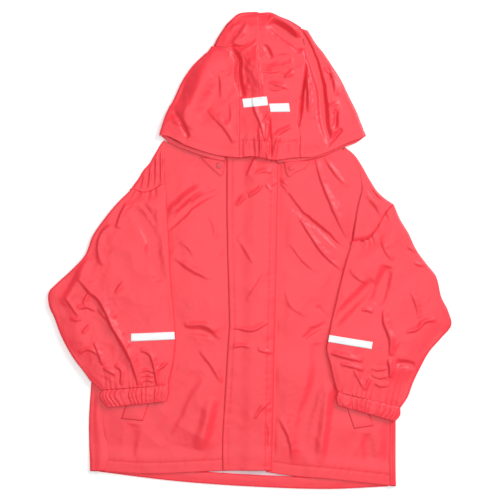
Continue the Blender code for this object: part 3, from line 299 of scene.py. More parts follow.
HOOD_CREASES = (
    (2.8, 24.0, 30.0, ((-58, 306), (-64, 286), (-72, 263), (-85, 226), (-95, 208), (-104, 186))),
    (-2.2, 5.0, 7.0, ((-93, 168), (-98, 182), (-106, 198), (-114, 208))),
    (1.1, 4.0, 13.0, ((-64, 210), (-50, 195), (-37, 182), (-24, 160))),
    (0.8, 6.0, 12.0, ((-46, 268), (-43, 248), (-42, 226))),
    (2.0, 2.5, 30.0, ((19, 226), (15, 255), (11, 280), (10, 305))),
    (1.1, 2.5, 4.5, ((14, 140), (16, 160), (14, 184))),
    (0.9, 2.5, 4.5, ((21, 138), (24, 158), (26, 192))),
    (-1.0, 2.5, 3.5, ((32, 137), (31, 160), (29, 188))),
    (0.9, 3.0, 5.0, ((38, 138), (39, 156), (45, 174))),
    (-1.6, 2.5, 3.0, ((-16, 352.5), (4, 353.5), (26, 352.5))),
    (1.2, 3.0, 8.0, ((-5, 341), (-16, 322), (-27, 309))),
    (0.7, 2.5, 6.0, ((-13, 342), (-20, 338), (-29, 334))),
    (-1.5, 3.0, 4.5, ((-34, 299), (-25, 305), (-15, 303), (1, 309), (8, 316))),
    (1.0, 3.0, 5.0, ((9, 315), (-4, 304), (-18, 293))),
    (-2.8, 8.0, 7.0, ((-29, 304), (-17, 283), (-18, 266), (-10, 228))),
    (-5.0, 13.0, 16.0, ((28, 342), (42, 334), (54, 324), (68, 313), (80, 302))),
    (3.2, 22.0, 5.0, ((30, 351), (48, 344), (64, 333), (79, 317))),
    (-1.8, 5.0, 6.0, ((21, 308), (27, 299), (33, 288))),
    (0.6, 2.0, 3.0, ((40, 290), (50, 291.5), (61, 290))),
    (0.6, 2.0, 3.0, ((61, 290), (62, 283), (61, 276))),
    (1.0, 2.5, 7.0, ((18, 277), (36, 273), (62, 278))),
    (0.9, 2.5, 6.0, ((14, 269), (32, 267), (56, 271))),
    (1.0, 2.5, 6.0, ((63, 270), (58, 264), (52, 259))),
    (1.1, 2.5, 6.0, ((29, 249), (42, 247), (58, 241))),
    (0.7, 2.5, 6.0, ((28, 243), (38, 240), (50, 243))),
    (-2.0, 4.0, 4.0, ((72, 184), (75, 201), (78, 228), (82, 255), (84, 280))),
    (1.6, 5.0, 8.0, ((86, 262), (88, 235), (89, 205))),
    (-4.2, 9.0, 11.0, ((120, 160), (112, 188), (109, 220), (106, 247), (98, 273), (92, 292), (84, 312),
                       (75, 334))),
    (1.4, 6.0, 14.0, ((120, 286), (126, 258), (130, 232))),
    (0.7, 2.5, 6.0, ((111, 271), (119, 266), (127, 259))),
    (0.7, 2.5, 6.0, ((120, 214), (127, 218), (134, 220))),
    (-1.8, 4.0, 6.0, ((127, 180), (129, 196), (129, 212))),
    (-1.5, 4.0, 6.0, ((116, 155), (127, 168), (138, 182))),
    (1.2, 3.0, 8.0, ((4, 228), (6, 214), (15, 191), (22, 164))),
    (0.8, 2.0, 5.0, ((30, 207), (24, 198), (17, 190))),
    (-1.3, 2.5, 3.5, ((30, 166), (29, 184), (29, 203))),
    (1.0, 3.0, 8.0, ((33, 166), (43, 174), (64, 185))),
    (0.6, 3.0, 10.0, ((-98, 234), (-96, 218), (-100, 204))),
    (0.5, 4.0, 10.0, ((-30, 220), (-28, 200), (-34, 182))),
)
SHOULDER_CREASES = (
    (0.9, 1.8, 2.6, ((-141, 150), (-141, 124), (-142, 97))),
    (0.9, 1.8, 2.6, ((-134, 148), (-133.5, 124), (-133, 99))),
    (0.8, 1.6, 2.2, ((-130.6, 146), (-130.5, 122), (-130.4, 100))),
    (0.9, 2.0, 3.5, ((-149, 128), (-150, 112), (-152, 92))),
    (0.9, 2.0, 3.5, ((-159, 116), (-160, 104), (-163, 90))),
    (1.0, 3.0, 8.0, ((170, 88), (181, 76), (195, 62))),
    (-1.0, 3.0, 4.0, ((176, 74), (188, 60), (198, 46))),
    (0.9, 2.5, 5.0, ((168, 66), (180, 50), (190, 36))),
    (0.9, 2.5, 5.0, ((160, 44), (170, 34), (178, 22))),
    (1.0, 3.0, 6.0, ((182, 98), (190, 86), (203, 74))),
)

# ---- curves and waves --------------------------------------------------------------------------


def smooth(value):
    """A ramp from 0 to 1 with level ends."""
    t = np.clip(value, 0.0, 1.0)
    return t * t * (3.0 - 2.0 * t)


def mix(a, b, t):
    return a + (b - a) * t


def travelled(points):
    """Length along a line at each of its points."""
    steps = np.linalg.norm(np.diff(points, axis=0), axis=1)
    return np.concatenate([[0.0], np.cumsum(steps)])


def hermite(values, places, at):
    """Smooth curve through rows of values that stand at rising places."""
    steps = np.diff(places)[:, None]
    slopes = np.diff(values, axis=0) / steps
    tangents = np.empty_like(values)
    tangents[0], tangents[-1] = slopes[0], slopes[-1]
    tangents[1:-1] = (slopes[:-1] * steps[1:] + slopes[1:] * steps[:-1]) / (steps[:-1] + steps[1:])
    k = np.clip(np.searchsorted(places, at, side="right") - 1, 0, len(places) - 2)
    h = steps[k]
    t = ((at - places[k]) / h[:, 0])[:, None]
    start = (1 + 2 * t) * (1 - t) ** 2 * values[k] + t * (1 - t) ** 2 * h * tangents[k]
    end = t * t * (3 - 2 * t) * values[k + 1] + t * t * (t - 1) * h * tangents[k + 1]
    return start + end


def path(points, count):
    """Evenly spaced points on a smooth curve through the given ones."""
    points = np.array(points, float)
    if len(points) > 2:
        lengths = travelled(points)
        points = hermite(points, lengths, np.linspace(0.0, lengths[-1], 16 * len(points)))
    along = travelled(points)
    at = np.linspace(0.0, along[-1], count)
    return np.stack([np.interp(at, along, column) for column in points.T], axis=1)


def dense(control, step):
    """More rows, no more than step apart, on smooth curves through the control rows."""
    control = np.array(control, float)
    gaps = np.nanmean(np.linalg.norm(np.diff(control[..., :2], axis=0), axis=2), axis=1)
    places = np.concatenate([[0.0], np.cumsum(gaps)])
    at = [np.linspace(a, b, max(1, math.ceil((b - a) / step)), endpoint=False)
          for a, b in zip(places, places[1:])]
    at = np.concatenate(at + [places[-1:]])
    flat = hermite(control.reshape(len(control), -1), places, at)
    return flat.reshape((len(at),) + control.shape[1:])


def between(start, end, count):
    """Points on straight lines from each row of start to the same row of end."""
    t = np.linspace(0.0, 1.0, count)[None, :, None]
    return start[:, None, :] * (1.0 - t) + end[:, None, :] * t


def nearest(x, y, line):
    """Distance to a line, the side of it (1 at the right hand) and the share of the way along."""
    best = np.full(x.shape, np.inf)
    side, share = np.zeros(x.shape), np.zeros(x.shape)
    lengths = travelled(line)
    for i, (a, b) in enumerate(zip(line[:-1], line[1:])):
        d = b - a
        t = np.clip(((x - a[0]) * d[0] + (y - a[1]) * d[1]) / (d @ d), 0.0, 1.0)
        ex, ey = x - a[0] - t * d[0], y - a[1] - t * d[1]
        distance = np.hypot(ex, ey)
        closer = distance < best
        best = np.where(closer, distance, best)
        side = np.where(closer, np.sign(d[1] * ex - d[0] * ey), side)
        share = np.where(closer, mix(lengths[i], lengths[i + 1], t) / lengths[-1], share)
    return best, side, share


def distance_to(x, y, points):
    return nearest(x, y, np.array(points, float))[0]


STRENGTH = 2.6                # of all the creases in the tables
CRISP = 7.0                   # a crease whose steep side is no wider than this has a sharp top
SOFT_WOBBLE = 0.3             # unevenness of the other creases, as a share of a crisp one's
WOBBLES = ((0.3, 11.0, 401), (0.2, 5.0, 402))   # share of the width, size, seed


def relief(x, y, creases):
    """Height that a table of creases adds at each point."""
    total = np.zeros(x.shape)
    for height, steep, gentle, points in creases:
        line = path(points, 4 * len(points))
        reach = max(steep, gentle)
        low, high = line.min(0) - reach, line.max(0) + reach
        near = (x > low[0]) & (x < high[0]) & (y > low[1]) & (y < high[1])
        if not near.any():
            continue
        distance, side, share = nearest(x[near], y[near], line)
        rough = 1.0 if steep <= CRISP else SOFT_WOBBLE
        wobble = sum(amount * waves(x[near], y[near], size, seed) for amount, size, seed in WOBBLES)
        uneven = 1.0 + rough * wobble
        u = np.clip(distance * uneven / np.where(side > 0, steep, gentle), 0.0, 1.0)
        shape = (1.0 - u) ** 2 * (1.0 + u) if steep <= CRISP else 1.0 - smooth(u)
        total[near] += STRENGTH * height * np.sqrt(np.sin(np.pi * np.clip(share, 0.0, 1.0))) * shape
    return total


LATTICE = 64                  # cells of the waves' lattice each way
LATTICE_START = (32.2, 32.4)  # the cell that x = y = 0 lies in
LATTICE_TURN = (0.5, 0.37)    # its angle in radians, and what a seed adds


def waves(x, y, size, seed):
    """Smooth irregular waves from -1 to 1, about size apart."""
    lattice = np.random.default_rng(seed).uniform(-1.0, 1.0, (LATTICE, LATTICE))
    turn = LATTICE_TURN[0] + LATTICE_TURN[1] * (seed % 11)
    across, along = x * math.cos(turn) + y * math.sin(turn), y * math.cos(turn) - x * math.sin(turn)
    u = np.nan_to_num(across / size + LATTICE_START[0])
    v = np.nan_to_num(along / size + LATTICE_START[1])
    i, j = np.floor(u).astype(int), np.floor(v).astype(int)
    s, t = smooth(u - i), smooth(v - j)
    i, j, right, up = i % LATTICE, j % LATTICE, (i + 1) % LATTICE, (j + 1) % LATTICE
    return mix(mix(lattice[i, j], lattice[right, j], s), mix(lattice[i, up], lattice[right, up], s), t)


def ripple(along, size, seed):
    """Waves in one direction."""
    return waves(along, np.zeros(along.shape), size, seed)


SWELL = (1.2, 48.0)           # height and size of the cloth's slow waves
FACET = (1.3, 40.0)           # and of its flat facets
SMALL_FACETS = ((0.65, 21.0, 0.6, 60.0), (0.26, 9.0, 0.5, 37.0))   # in patches: height, size, share, patch
SLACK_LIFT = 0.6


def slack(x, y, seed):
    """The cloth's own unevenness: flat facets that meet in soft ridges."""
    total = SWELL[0] * waves(x, y, SWELL[1], seed) - FACET[0] * np.abs(waves(x, y, FACET[1], seed + 1))
    for i, (height, size, share, patch) in enumerate(SMALL_FACETS):
        facets = height * np.abs(waves(x, y, size, seed + 2 + 2 * i))
        total = total - facets * smooth(share + waves(x, y, patch, seed + 3 + 2 * i))
    return total + SLACK_LIFT


def soft_floor(value, lowest, width=0.7):
    """The value, bent so that it never falls below the lowest."""
    return lowest + width * np.logaddexp(0.0, (value - lowest) / width)


CRUMPLE_SIZES = (11.0, 6.0)
FINE_CRUMPLES = 0.45          # height of the smaller ones, as a share
CRUMPLE_DEPTH = 2.2


def crumples(x, y, centre, radius, height, seed):
    """A patch of small sharp creases, in two leaning sets."""
    away = np.hypot((x - centre[0]) / radius[0], (y - centre[1]) / radius[1])
    lean = 0.5 * y
    ridges = 1.0 - np.abs(waves(x + lean, y - 0.3 * x, CRUMPLE_SIZES[0], seed)) * CRUMPLE_DEPTH
    fine = 1.0 - np.abs(waves(x - lean, y + 0.2 * x, CRUMPLE_SIZES[1], seed + 1)) * CRUMPLE_DEPTH
    return height * (1.0 - smooth(away)) * (ridges + FINE_CRUMPLES * fine)


def puckers(x, y, line, reach, pitch, height, seed):
    """Small gathers that run out from a stitched line."""
    line = path(line, 6 * len(line))
    distance, side, share = nearest(x, y, line)
    run = share * travelled(line)[-1] + 0.3 * distance * side
    return height * ripple(run, pitch / 2, seed) * np.exp(-(distance / reach) ** 2)


def groove(x, y, line, width, depth):
    """The dent of a line of stitches."""
    distance = distance_to(x, y, path(line, 6 * len(line)))
    return -depth * (1.0 - smooth(distance / width))


def gathers(share, count, seed):
    """Rounded ridges with sharp valleys between them, from 0 to 1, uneven in width and height."""
    place = share * count + 0.55 * ripple(share * count, 1.6, seed)
    height = 0.7 + 0.3 * ripple(np.floor(place) * 3.1, 1.0, seed + 1)
    return height * np.abs(np.sin(np.pi * place)) ** 0.75


# ---- levels ------------------------------------------------------------------------------------

HEM_POINTS = np.array(FRONT_RIGHT_HEM + tuple(reversed(FRONT_LEFT_HEM)))
RIGHT_EDGE = BACK_SECTIONS[::-1, 0:2]
LEFT_EDGE = BACK_SECTIONS[::-1, 5:7]
RIGHT_SHOULDER_SEAM = ((-180.5, 89.0),) + RIGHT_SLEEVE_SEAM + ((-127.6, 98.4),)
LEFT_SHOULDER_SEAM = ((216.6, 67.2),) + LEFT_SLEEVE_SEAM + ((152.6, 8.4),)


def hem_y(x):
    return np.interp(x, HEM_POINTS[:, 0], HEM_POINTS[:, 1])


HEM_OPENING = (-58.0, 76.0)   # between these x the back's hem shows below the fronts'
HEM_CLIMB = (42.0, 22.0)      # where the rise over the hems starts above the edge, and its length


def hem_lift(x, y):
    """Rise of the fronts over the turned-up hems."""
    sides = np.maximum(smooth((HEM_OPENING[0] - x) / 18.0), smooth((x - HEM_OPENING[1]) / 16.0))
    return (1.0 + sides) * LAYER * smooth((hem_y(x) + HEM_CLIMB[0] - y) / HEM_CLIMB[1])


def zip_x(y):
    return mix(ZIP_TOP[0], ZIP_END[0], (ZIP_TOP[1] - y) / (ZIP_TOP[1] - ZIP_END[1]))


def beyond_sleeve(x, y, side):
    """How far a point of a front lies outside the sleeve and the cuff on it."""
    table, cuff = (SLEEVE_RIGHT, CUFF_RIGHT) if side < 0 else (SLEEVE_LEFT, CUFF_LEFT)
    inner = np.concatenate([cuff[::-1, 2:4], table[::-1, 2:4]])
    beside = (x - np.interp(y, inner[:, 1], inner[:, 0])) * -side
    ends = sorted((tuple(cuff[-1, 0:2]), tuple(cuff[-1, 2:4])))
    below = np.interp(x, [ends[0][0], ends[1][0]], [ends[0][1], ends[1][1]]) - y
    return np.maximum(beside, below)


FLAP_Y = [row[0] for row in reversed(FLAP_SECTIONS)]
FLAP_FREE = [row[1] for row in reversed(FLAP_SECTIONS)]
FLAP_SEWN = [row[2] for row in reversed(FLAP_SECTIONS)]
FLAP_TOPSTITCH = 7.5          # of the free edge
FLAP_STITCH = 9.0             # of the sewn edge


SIDE_SEAM_X = {-1: -214.0, 1: 209.0}
SEAM_FADE = 14.0              # widths over which a bulge dies out beside the seams, sleeves and flap
SLEEVE_FADE = 13.0
FREE_FADE = 9.0
SEWN_FADE = 8.0
UNDER_SLEEVE = 5.0            # how far a bulge runs on below a sleeve
UNDER_HOOD_Y = 158.0
NECK_FADE = 34.0
HEM_ROOM = 0.3                # share of the bulge that is left at the hem
HEM_FADE = (14.0, 30.0)       # where above the hem it starts to grow, and over what length
PUFF_SPREAD = 3.0             # the whole bulge fades over this many times the widths of its creases


def front_room(x, y, side, spread=1.0):
    """Where a front is free to bulge: 1 in the open, 0 under the flap, the sleeves and the hood."""
    if side < 0:
        flap = smooth((np.interp(y, FLAP_Y, FLAP_FREE) - 0.5 - x) / (FREE_FADE * spread))
    else:
        flap = smooth((x - np.interp(y, FLAP_Y, FLAP_SEWN) - 0.5) / (SEWN_FADE * spread))
    seam = smooth(side * (SIDE_SEAM_X[side] - x) / (SEAM_FADE * spread))
    sleeve = smooth((beyond_sleeve(x, y, side) + UNDER_SLEEVE) / (SLEEVE_FADE * spread))
    neck = smooth((UNDER_HOOD_Y - y) / NECK_FADE)
    hem = mix(HEM_ROOM, 1.0, smooth((y - hem_y(x) - HEM_FADE[0]) / HEM_FADE[1]))
    return flap * seam * sleeve * neck * hem


def front_z(x, y, side):
    """Level of a front, with its puff, creases and stitched hem."""
    creases = relief(x, y, FRONT_CREASES) + slack(x, y, seed=11)
    line = [(px, py + HEM_TURN) for px, py in HEM_POINTS]
    hem = groove(x, y, line, width=2.6, depth=0.35)
    hem += puckers(x, y, line, reach=7.0, pitch=9.0, height=0.28, seed=5)
    open_hem = smooth((beyond_sleeve(x, y, side) + UNDER_SLEEVE) / SLEEVE_FADE)
    bulge = soft_floor(FRONT_PUFF * front_room(x, y, side, PUFF_SPREAD) + creases, lowest=0.2, width=0.6)
    return FRONT_LEVEL + hem_lift(x, y) + front_room(x, y, side) * bulge + hem * open_hem


FLAP_LIFT = 1.15              # of the flap over the fronts, then over the chain and over the slider
CHAIN_LIFT = 1.9
SLIDER_LIFT = 1.2
CHAIN_REACH = (7.0, 22.0)     # half width of the level top over the chain, and of the slope beside it
SLIDER_REACH = (8.0, 14.0)
FLAP_ROOM = 12.0
FLAP_SLACK = 0.7
FLAP_STAR = (42.0, -238.0)    # creases that run out from a point of the sewn edge
STAR_RAYS = 6.0
STAR_RADIUS = 9.0
DENT = (0.4, 2.4)             # depth and width of the dent along its stitches
FOLD_ROUND = 1.8              # width over which its folded edges turn down


def flap_z(x, y):
    """Level of the storm flap over the zip."""
    free, sewn = np.interp(y, FLAP_Y, FLAP_FREE), np.interp(y, FLAP_Y, FLAP_SEWN)
    near_chain = 1.0 - smooth((np.abs(x - zip_x(y)) - CHAIN_REACH[0]) / CHAIN_REACH[1])
    along = smooth((np.abs(y - SLIDER_Y) - SLIDER_REACH[0]) / SLIDER_REACH[1])
    near_slider = near_chain * (1.0 - along)
    level = FRONT_LEVEL + hem_lift(x, y) + FLAP_LIFT + near_chain * CHAIN_LIFT + near_slider * SLIDER_LIFT
    edge = np.minimum(x - free, sewn - x)
    loose = mix(0.25, 1.0, smooth(edge / FLAP_ROOM))
    creases = relief(x, y, FLAP_CREASES) + FLAP_SLACK * slack(x, y, seed=31)
    star_x, star_y = x - FLAP_STAR[0], y - FLAP_STAR[1]
    ring = np.exp(-((np.hypot(star_x, star_y) - STAR_RADIUS) / STAR_RADIUS) ** 2)
    creases += 0.5 * np.cos(STAR_RAYS * np.arctan2(star_y, star_x)) * ring
    from_free, from_sewn = x - free - FLAP_TOPSTITCH, sewn - FLAP_STITCH - x
    stitched = (-DENT[0] * (1.0 - smooth(np.abs(from_free) / DENT[1]))
                - DENT[0] * (1.0 - smooth(np.abs(from_sewn) / DENT[1])))
    pucker = 0.22 * ripple(y, size=5.0, seed=8) * np.exp(-(from_free / 5.0) ** 2)
    pucker += 0.3 * ripple(y, size=4.4, seed=9) * np.exp(-(from_sewn / 6.0) ** 2)
    fold = -0.5 * (1.0 - smooth((x - free) / FOLD_ROUND)) - 0.45 * (1.0 - smooth((sewn - x) / FOLD_ROUND))
    return level + loose * (0.5 + creases) + stitched + pucker + fold


def body_edge_distance(x, y, side):
    edge = RIGHT_EDGE if side < 0 else LEFT_EDGE
    return side * (x - np.interp(y, edge[:, 1], edge[:, 0]))


POCKET_Y = -110.0             # the sleeves rise below it, over the pocket welts
SLEEVE_CLEAR = 0.5            # of a sleeve's lower layer over the fronts
LOWER_DROP = (14.0, 30.0)     # how far off the body its fall to the table starts, and its length
UPPER_DROP = (20.0, 60.0)     # and the same for the upper layer
SLEEVE_DEPTH = 5.6            # height of the upper layer off the body


def sleeve_over_body(y):
    return FRONT_LEVEL + LAYER + LAYER * smooth((POCKET_Y - y) / 30.0)


def sleeve_lower_z(x, y, side, over=None):
    on_body = sleeve_over_body(y) + SLEEVE_CLEAR if over is None else over
    fall = smooth((body_edge_distance(x, y, side) - LOWER_DROP[0]) / LOWER_DROP[1])
    return mix(on_body, BACK_LEVEL, fall)


def sleeve_base(x, y, side):
    over = sleeve_over_body(y) + LAYER + 1.6
    fall = smooth((body_edge_distance(x, y, side) - UPPER_DROP[0]) / UPPER_DROP[1])
    return mix(over, BACK_LEVEL + SLEEVE_DEPTH, fall)


# Patches of small creases: centre, radius, height
SLEEVE_CRUMPLES = (
    ((-152.0, -190.0), (24.0, 22.0), 0.55),
    ((-236.0, -150.0), (22.0, 40.0), 0.4),
    ((-258.0, -92.0), (28.0, 26.0), 0.35),
    ((-206.0, -190.0), (26.0, 18.0), 0.4),
    ((192.0, -192.0), (34.0, 26.0), 0.55),
    ((150.0, -180.0), (34.0, 26.0), 0.35),
    ((250.0, -70.0), (30.0, 50.0), 0.25),
)
CUFF_GATHERS = {-1: 13, 1: 11}
SLEEVE_GATHER_REACH = 15.0
SLEEVE_ROOM = 32.0            # width over which a sleeve swells from its edges
SHOULDER_SEAM_REACH = 26.0


def sleeve_z(x, y, side):
    """Level of a sleeve's upper layer."""
    table, cuff, seam = ((SLEEVE_RIGHT, CUFF_RIGHT, RIGHT_SHOULDER_SEAM) if side < 0
                         else (SLEEVE_LEFT, CUFF_LEFT, LEFT_SHOULDER_SEAM))
    edge = np.minimum(distance_to(x, y, table[:, 0:2]), distance_to(x, y, table[:, 2:4]))
    room = smooth(edge / SLEEVE_ROOM)
    creases = relief(x, y, SLEEVE_CREASES) + slack(x, y, seed=51 + side)
    for centre, radius, height in SLEEVE_CRUMPLES:
        creases += crumples(x, y, centre, radius, height, seed=71)
    free = smooth(edge / 9.0)
    z = sleeve_base(x, y, side) + soft_floor(room * SLEEVE_PUFF + free * creases, lowest=-1.0, width=0.5)
    distance, _, share = nearest(x, y, np.array((cuff[0, 0:2], cuff[0, 2:4])))
    near = np.exp(-distance / SLEEVE_GATHER_REACH)
    z += near * (1.5 * gathers(share, CUFF_GATHERS[side], seed=3) - 0.9)
    sewn = distance_to(x, y, path(seam, 24))
    z = mix(SHOULDER_LEVEL + 0.2, z, smooth(sewn / SHOULDER_SEAM_REACH))
    return z + puckers(x, y, seam, reach=9.0, pitch=6.5, height=0.9, seed=17 + side)


CUFF_RIDGE = 1.7              # height of a cuff's gathers


def cuff_z(x, y, side, share, down):
    """share: of the way from the outer edge to the inner; down: of the way from the seam to the hem."""
    swell = mix(0.35, 1.0, np.sin(np.pi * np.clip(0.15 + 0.7 * down, 0.0, 1.0)))
    ends = smooth(np.minimum(share, 1.0 - share) / 0.06)
    lean = 0.012 * waves(down * 3.0, share * 14.0, size=1.0, seed=4)
    ridges = gathers(share + lean, CUFF_GATHERS[side], seed=3)
    dents = 0.35 * waves(x, y, size=5.0, seed=23) - 0.3 * np.abs(waves(x, y, size=8.0, seed=24))
    rise = 0.5 * np.sin(np.pi * down) + CUFF_RIDGE * swell * ridges + dents
    return sleeve_base(x, y, side) + 0.3 + ends * rise


WRAP_SLACK = 0.4


def wrap_z(x, y, level):
    return level + relief(x, y, SHOULDER_CREASES) + WRAP_SLACK * slack(x, y, seed=91)


HOOD_OUTLINE = np.array(
    [row[0:2] for row in HOOD_RIGHT_SECTIONS] + list(CROWN)
    + [row[0:2] for row in reversed(HOOD_LEFT_SECTIONS)])
BRIM_LINE = np.array(((-136.5, 172.5),) + RIGHT_BRIM_BENDS + ((-16.0, 138.2),) + BRIM_MIDDLE_BENDS
                     + ((75.0, 138.5),) + tuple(reversed(LEFT_BRIM_BENDS)) + ((174.5, 171.0),))
CASING_LINE = ((-16.0, 163.4), (4.0, 163.0), (24.0, 161.6), (44.0, 160.6), (62.0, 162.0), (76.0, 164.0))
RIGHT_HOOD_SEAM = ((-16.0, 138.2), (-16.0, 168.0), (-16.0, 237.0), (-19.0, 265.0), (-24.3, 300.6))
LEFT_HOOD_SEAM = ((75.0, 138.5), (75.0, 168.0), (72.0, 190.0), (79.5, 237.0), (83.8, 288.0), (82.0, 316.0))
HOOD_LEVEL = 5.8              # of the crown, and of the brim over the body
BRIM_LEVEL = 9.2
BRIM_RISE = (236.0, 62.0)     # the y where the level starts to rise to the brim's, and over what length
HOOD_ROOM = 34.0
HOOD_CRUMPLES = (((-22.0, 322.0), (34.0, 26.0), 0.45, 141), ((45.0, 258.0), (34.0, 30.0), 0.4, 143))
CASING_X = (-18.0, 78.0)      # its ends, and the y of its stitches
CASING_Y = 163.0
CASING_GATHER = 1.9           # height of the gathers in it, and of those that run on above it
ABOVE_CASING = 1.4
CASING_MIDDLE = (27.0, 17.0)  # where its gathers are deepest, and their spread


def shoulder_distance(x, y):
    """Distance above the shoulder lines and beside the neck points; 0 on the body."""
    result = np.zeros(x.shape)
    for line, side in ((SHOULDER_RIGHT, -1), (SHOULDER_LEFT, 1)):
        mine = (x < NECK_MIDDLE) if side < 0 else (x >= NECK_MIDDLE)
        points = sorted(line)
        shoulder_y = np.interp(x, [p[0] for p in points], [p[1] for p in points])
        beyond_neck = side * (x - line[0][0]) < 0.0
        inside = ((y < shoulder_y) & ~beyond_neck) | (beyond_neck & (y < line[0][1]))
        result = np.where(mine & ~inside, distance_to(x, y, line), result)
    return result


def hood_lower_z(x, y):
    over = FRONT_LEVEL + LAYER + 0.4 + LAYER * smooth((168.0 - y) / 20.0)
    return mix(over, BACK_LEVEL, smooth((shoulder_distance(x, y) - 8.0) / 26.0))


def hood_z(x, y):
    """Level of the hood's upper layer, without the pleat."""
    brim = distance_to(x, y, BRIM_LINE)
    outline = distance_to(x, y, HOOD_OUTLINE)
    room = smooth(outline / HOOD_ROOM) * mix(0.25, 1.0, smooth(brim / HOOD_ROOM))
    level = mix(HOOD_LEVEL, BRIM_LEVEL, smooth((BRIM_RISE[0] - y) / BRIM_RISE[1]))
    creases = relief(x, y, HOOD_CREASES) + slack(x, y, seed=131)
    for patch in HOOD_CRUMPLES:
        creases += crumples(x, y, *patch)
    lowest = mix(-0.4, -2.4, smooth(brim / 30.0))
    free = smooth(outline / 9.0)
    z = level + soft_floor(room * HOOD_PUFF + free * creases, lowest, width=0.5)
    middle = smooth((x - CASING_X[0]) / 6.0) * smooth((CASING_X[1] - x) / 6.0)
    casing = smooth((30.0 - brim) / 6.0) * middle
    strength = mix(0.35, 1.0, np.exp(-((x - CASING_MIDDLE[0]) / CASING_MIDDLE[1]) ** 2))
    run = x + 0.12 * (y - 150.0) * waves(x, y, size=14.0, seed=3)
    z += casing * strength * CASING_GATHER * waves(run, y * 0.12, size=3.4, seed=151)
    gathered = ABOVE_CASING * waves(x, y * 0.06, size=4.0, seed=152)
    z += middle * gathered * np.exp(-np.abs(y - CASING_Y) / 9.0) * strength
    z += middle * groove(x, y, CASING_LINE, width=2.2, depth=0.7)
    return z + puckers(x, y, BRIM_LINE, reach=8.0, pitch=11.0, height=0.35, seed=161)


def pleat_x(y):
    return np.interp(y, [row[0] for row in PLEAT_LINE], [row[1] for row in PLEAT_LINE])


# ---- meshes ------------------------------------------------------------------------------------


def lift(flat, level):
    """Rows of x, y with the level of each point."""
    return np.concatenate([flat[..., :2], level(flat[..., 0], flat[..., 1])[..., None]], axis=-1)


def folded_edge(edge, inward, lower, upper, reach, steps=7):
    """Points round a folded edge from the lower layer to the upper, one row for each row of edge."""
    angles = np.radians(np.linspace(-90.0, 90.0, steps + 2)[1:-1])[None, :]
    middle, radius = ((lower + upper) / 2)[:, None], ((upper - lower) / 2)[:, None]
    inset = np.asarray(reach)[..., None] * (1.0 - np.cos(angles))
    x = edge[:, 0:1] + inward[:, 0:1] * inset
    y = edge[:, 1:2] + inward[:, 1:2] * inset
    return np.stack([x, y, middle + radius * np.sin(angles)], axis=-1)


def turned_edge(row, level, drop, depth, rows_back=4, steps=5):
    """Rows that carry a panel round its lower edge and back along its inside."""
    radius = abs(drop) / 2
    rows = []
    for angle in np.radians(np.linspace(90.0, -90.0, steps)):
        y = row[:, 1] + radius * (1.0 - math.cos(angle))
        z = level(row[:, 0], y) + drop / 2 * (1.0 - math.sin(angle))
        rows.append(np.stack([row[:, 0], y, z], axis=1))
    for i in range(1, rows_back + 1):
        y = row[:, 1] + radius + (depth - radius) * i / rows_back
        rows.append(np.stack([row[:, 0], y, level(row[:, 0], y) + drop], axis=1))
    return np.stack(rows)


def unit(vectors):
    return vectors / np.linalg.norm(vectors, axis=-1, keepdims=True)


def mesh_from(name, points, faces, uvs=None):
    mesh = bpy.data.meshes.new(name)
    mesh.from_pydata((np.asarray(points) * MM).tolist(), [], faces)
    if uvs is not None:
        corner = np.empty(len(mesh.loops), np.int32)
        mesh.loops.foreach_get("vertex_index", corner)
        layer = mesh.uv_layers.new(name="cut")
        layer.data.foreach_set("uv", (uvs[corner] * MM).astype(np.float32).ravel())
    mesh.shade_smooth()
    return mesh


def add_piece(name, mesh, materials, node=None):
    piece = bpy.data.objects.new(name, mesh)
    bpy.context.scene.collection.objects.link(piece)
    for material in materials:
        mesh.materials.append(material)
    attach(piece, "root")
    if node:
        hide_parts(node)
    return piece


def cloth(node, grid, outside_up=True, wall=CLOTH, materials=None):
    """A thin sheet through a grid of points, with the cloth's coated reverse on its inner side."""
    rows, columns = grid.shape[:2]
    index = np.arange(rows * columns).reshape(rows, columns)
    corners = [index[:-1, :-1], index[:-1, 1:], index[1:, 1:], index[1:, :-1]]
    if outside_up:
        corners.reverse()
    quads = np.stack(corners, axis=-1)
    keep = np.isfinite(grid).all(axis=-1)
    quads = quads[keep[:-1, :-1] & keep[:-1, 1:] & keep[1:, 1:] & keep[1:, :-1]]
    used, quads = np.unique(quads.reshape(-1, 4), return_inverse=True)
    steps_across = np.linalg.norm(np.diff(grid, axis=1), axis=2)
    steps_down = np.linalg.norm(np.diff(grid, axis=0), axis=2)
    across = np.concatenate([[0.0], np.cumsum(np.nanmedian(steps_across, axis=0))])
    down = np.concatenate([[0.0], np.cumsum(np.nanmedian(steps_down, axis=1))])
    uvs = np.stack(np.meshgrid(across, -down), axis=-1).reshape(-1, 2)
    mesh = mesh_from(node, grid.reshape(-1, 3)[used], quads.reshape(-1, 4).tolist(), uvs[used])
    piece = add_piece("cloth_" + node, mesh, materials or (SHELL, REVERSE), node)
    solidify = piece.modifiers.new("wall", "SOLIDIFY")
    solidify.thickness = wall * MM
    solidify.offset = 0.0
    if materials is None:
        solidify.material_offset = 1
    return piece


def loft(first, second, rows, columns):
    """A grid between two curves."""
    return between(path(first, rows), path(second, rows), columns)


STITCH = (2.3, 0.5, 3.3)      # length, width, distance from one to the next
STITCH_RISE = 0.3
STITCH_RINGS = ((-0.5, 0.3, -0.25), (-0.3, 1.0, STITCH_RISE), (0.3, 1.0, STITCH_RISE), (0.5, 0.3, -0.25))
# of a bead: share of its length, share of its half width, height of the ring


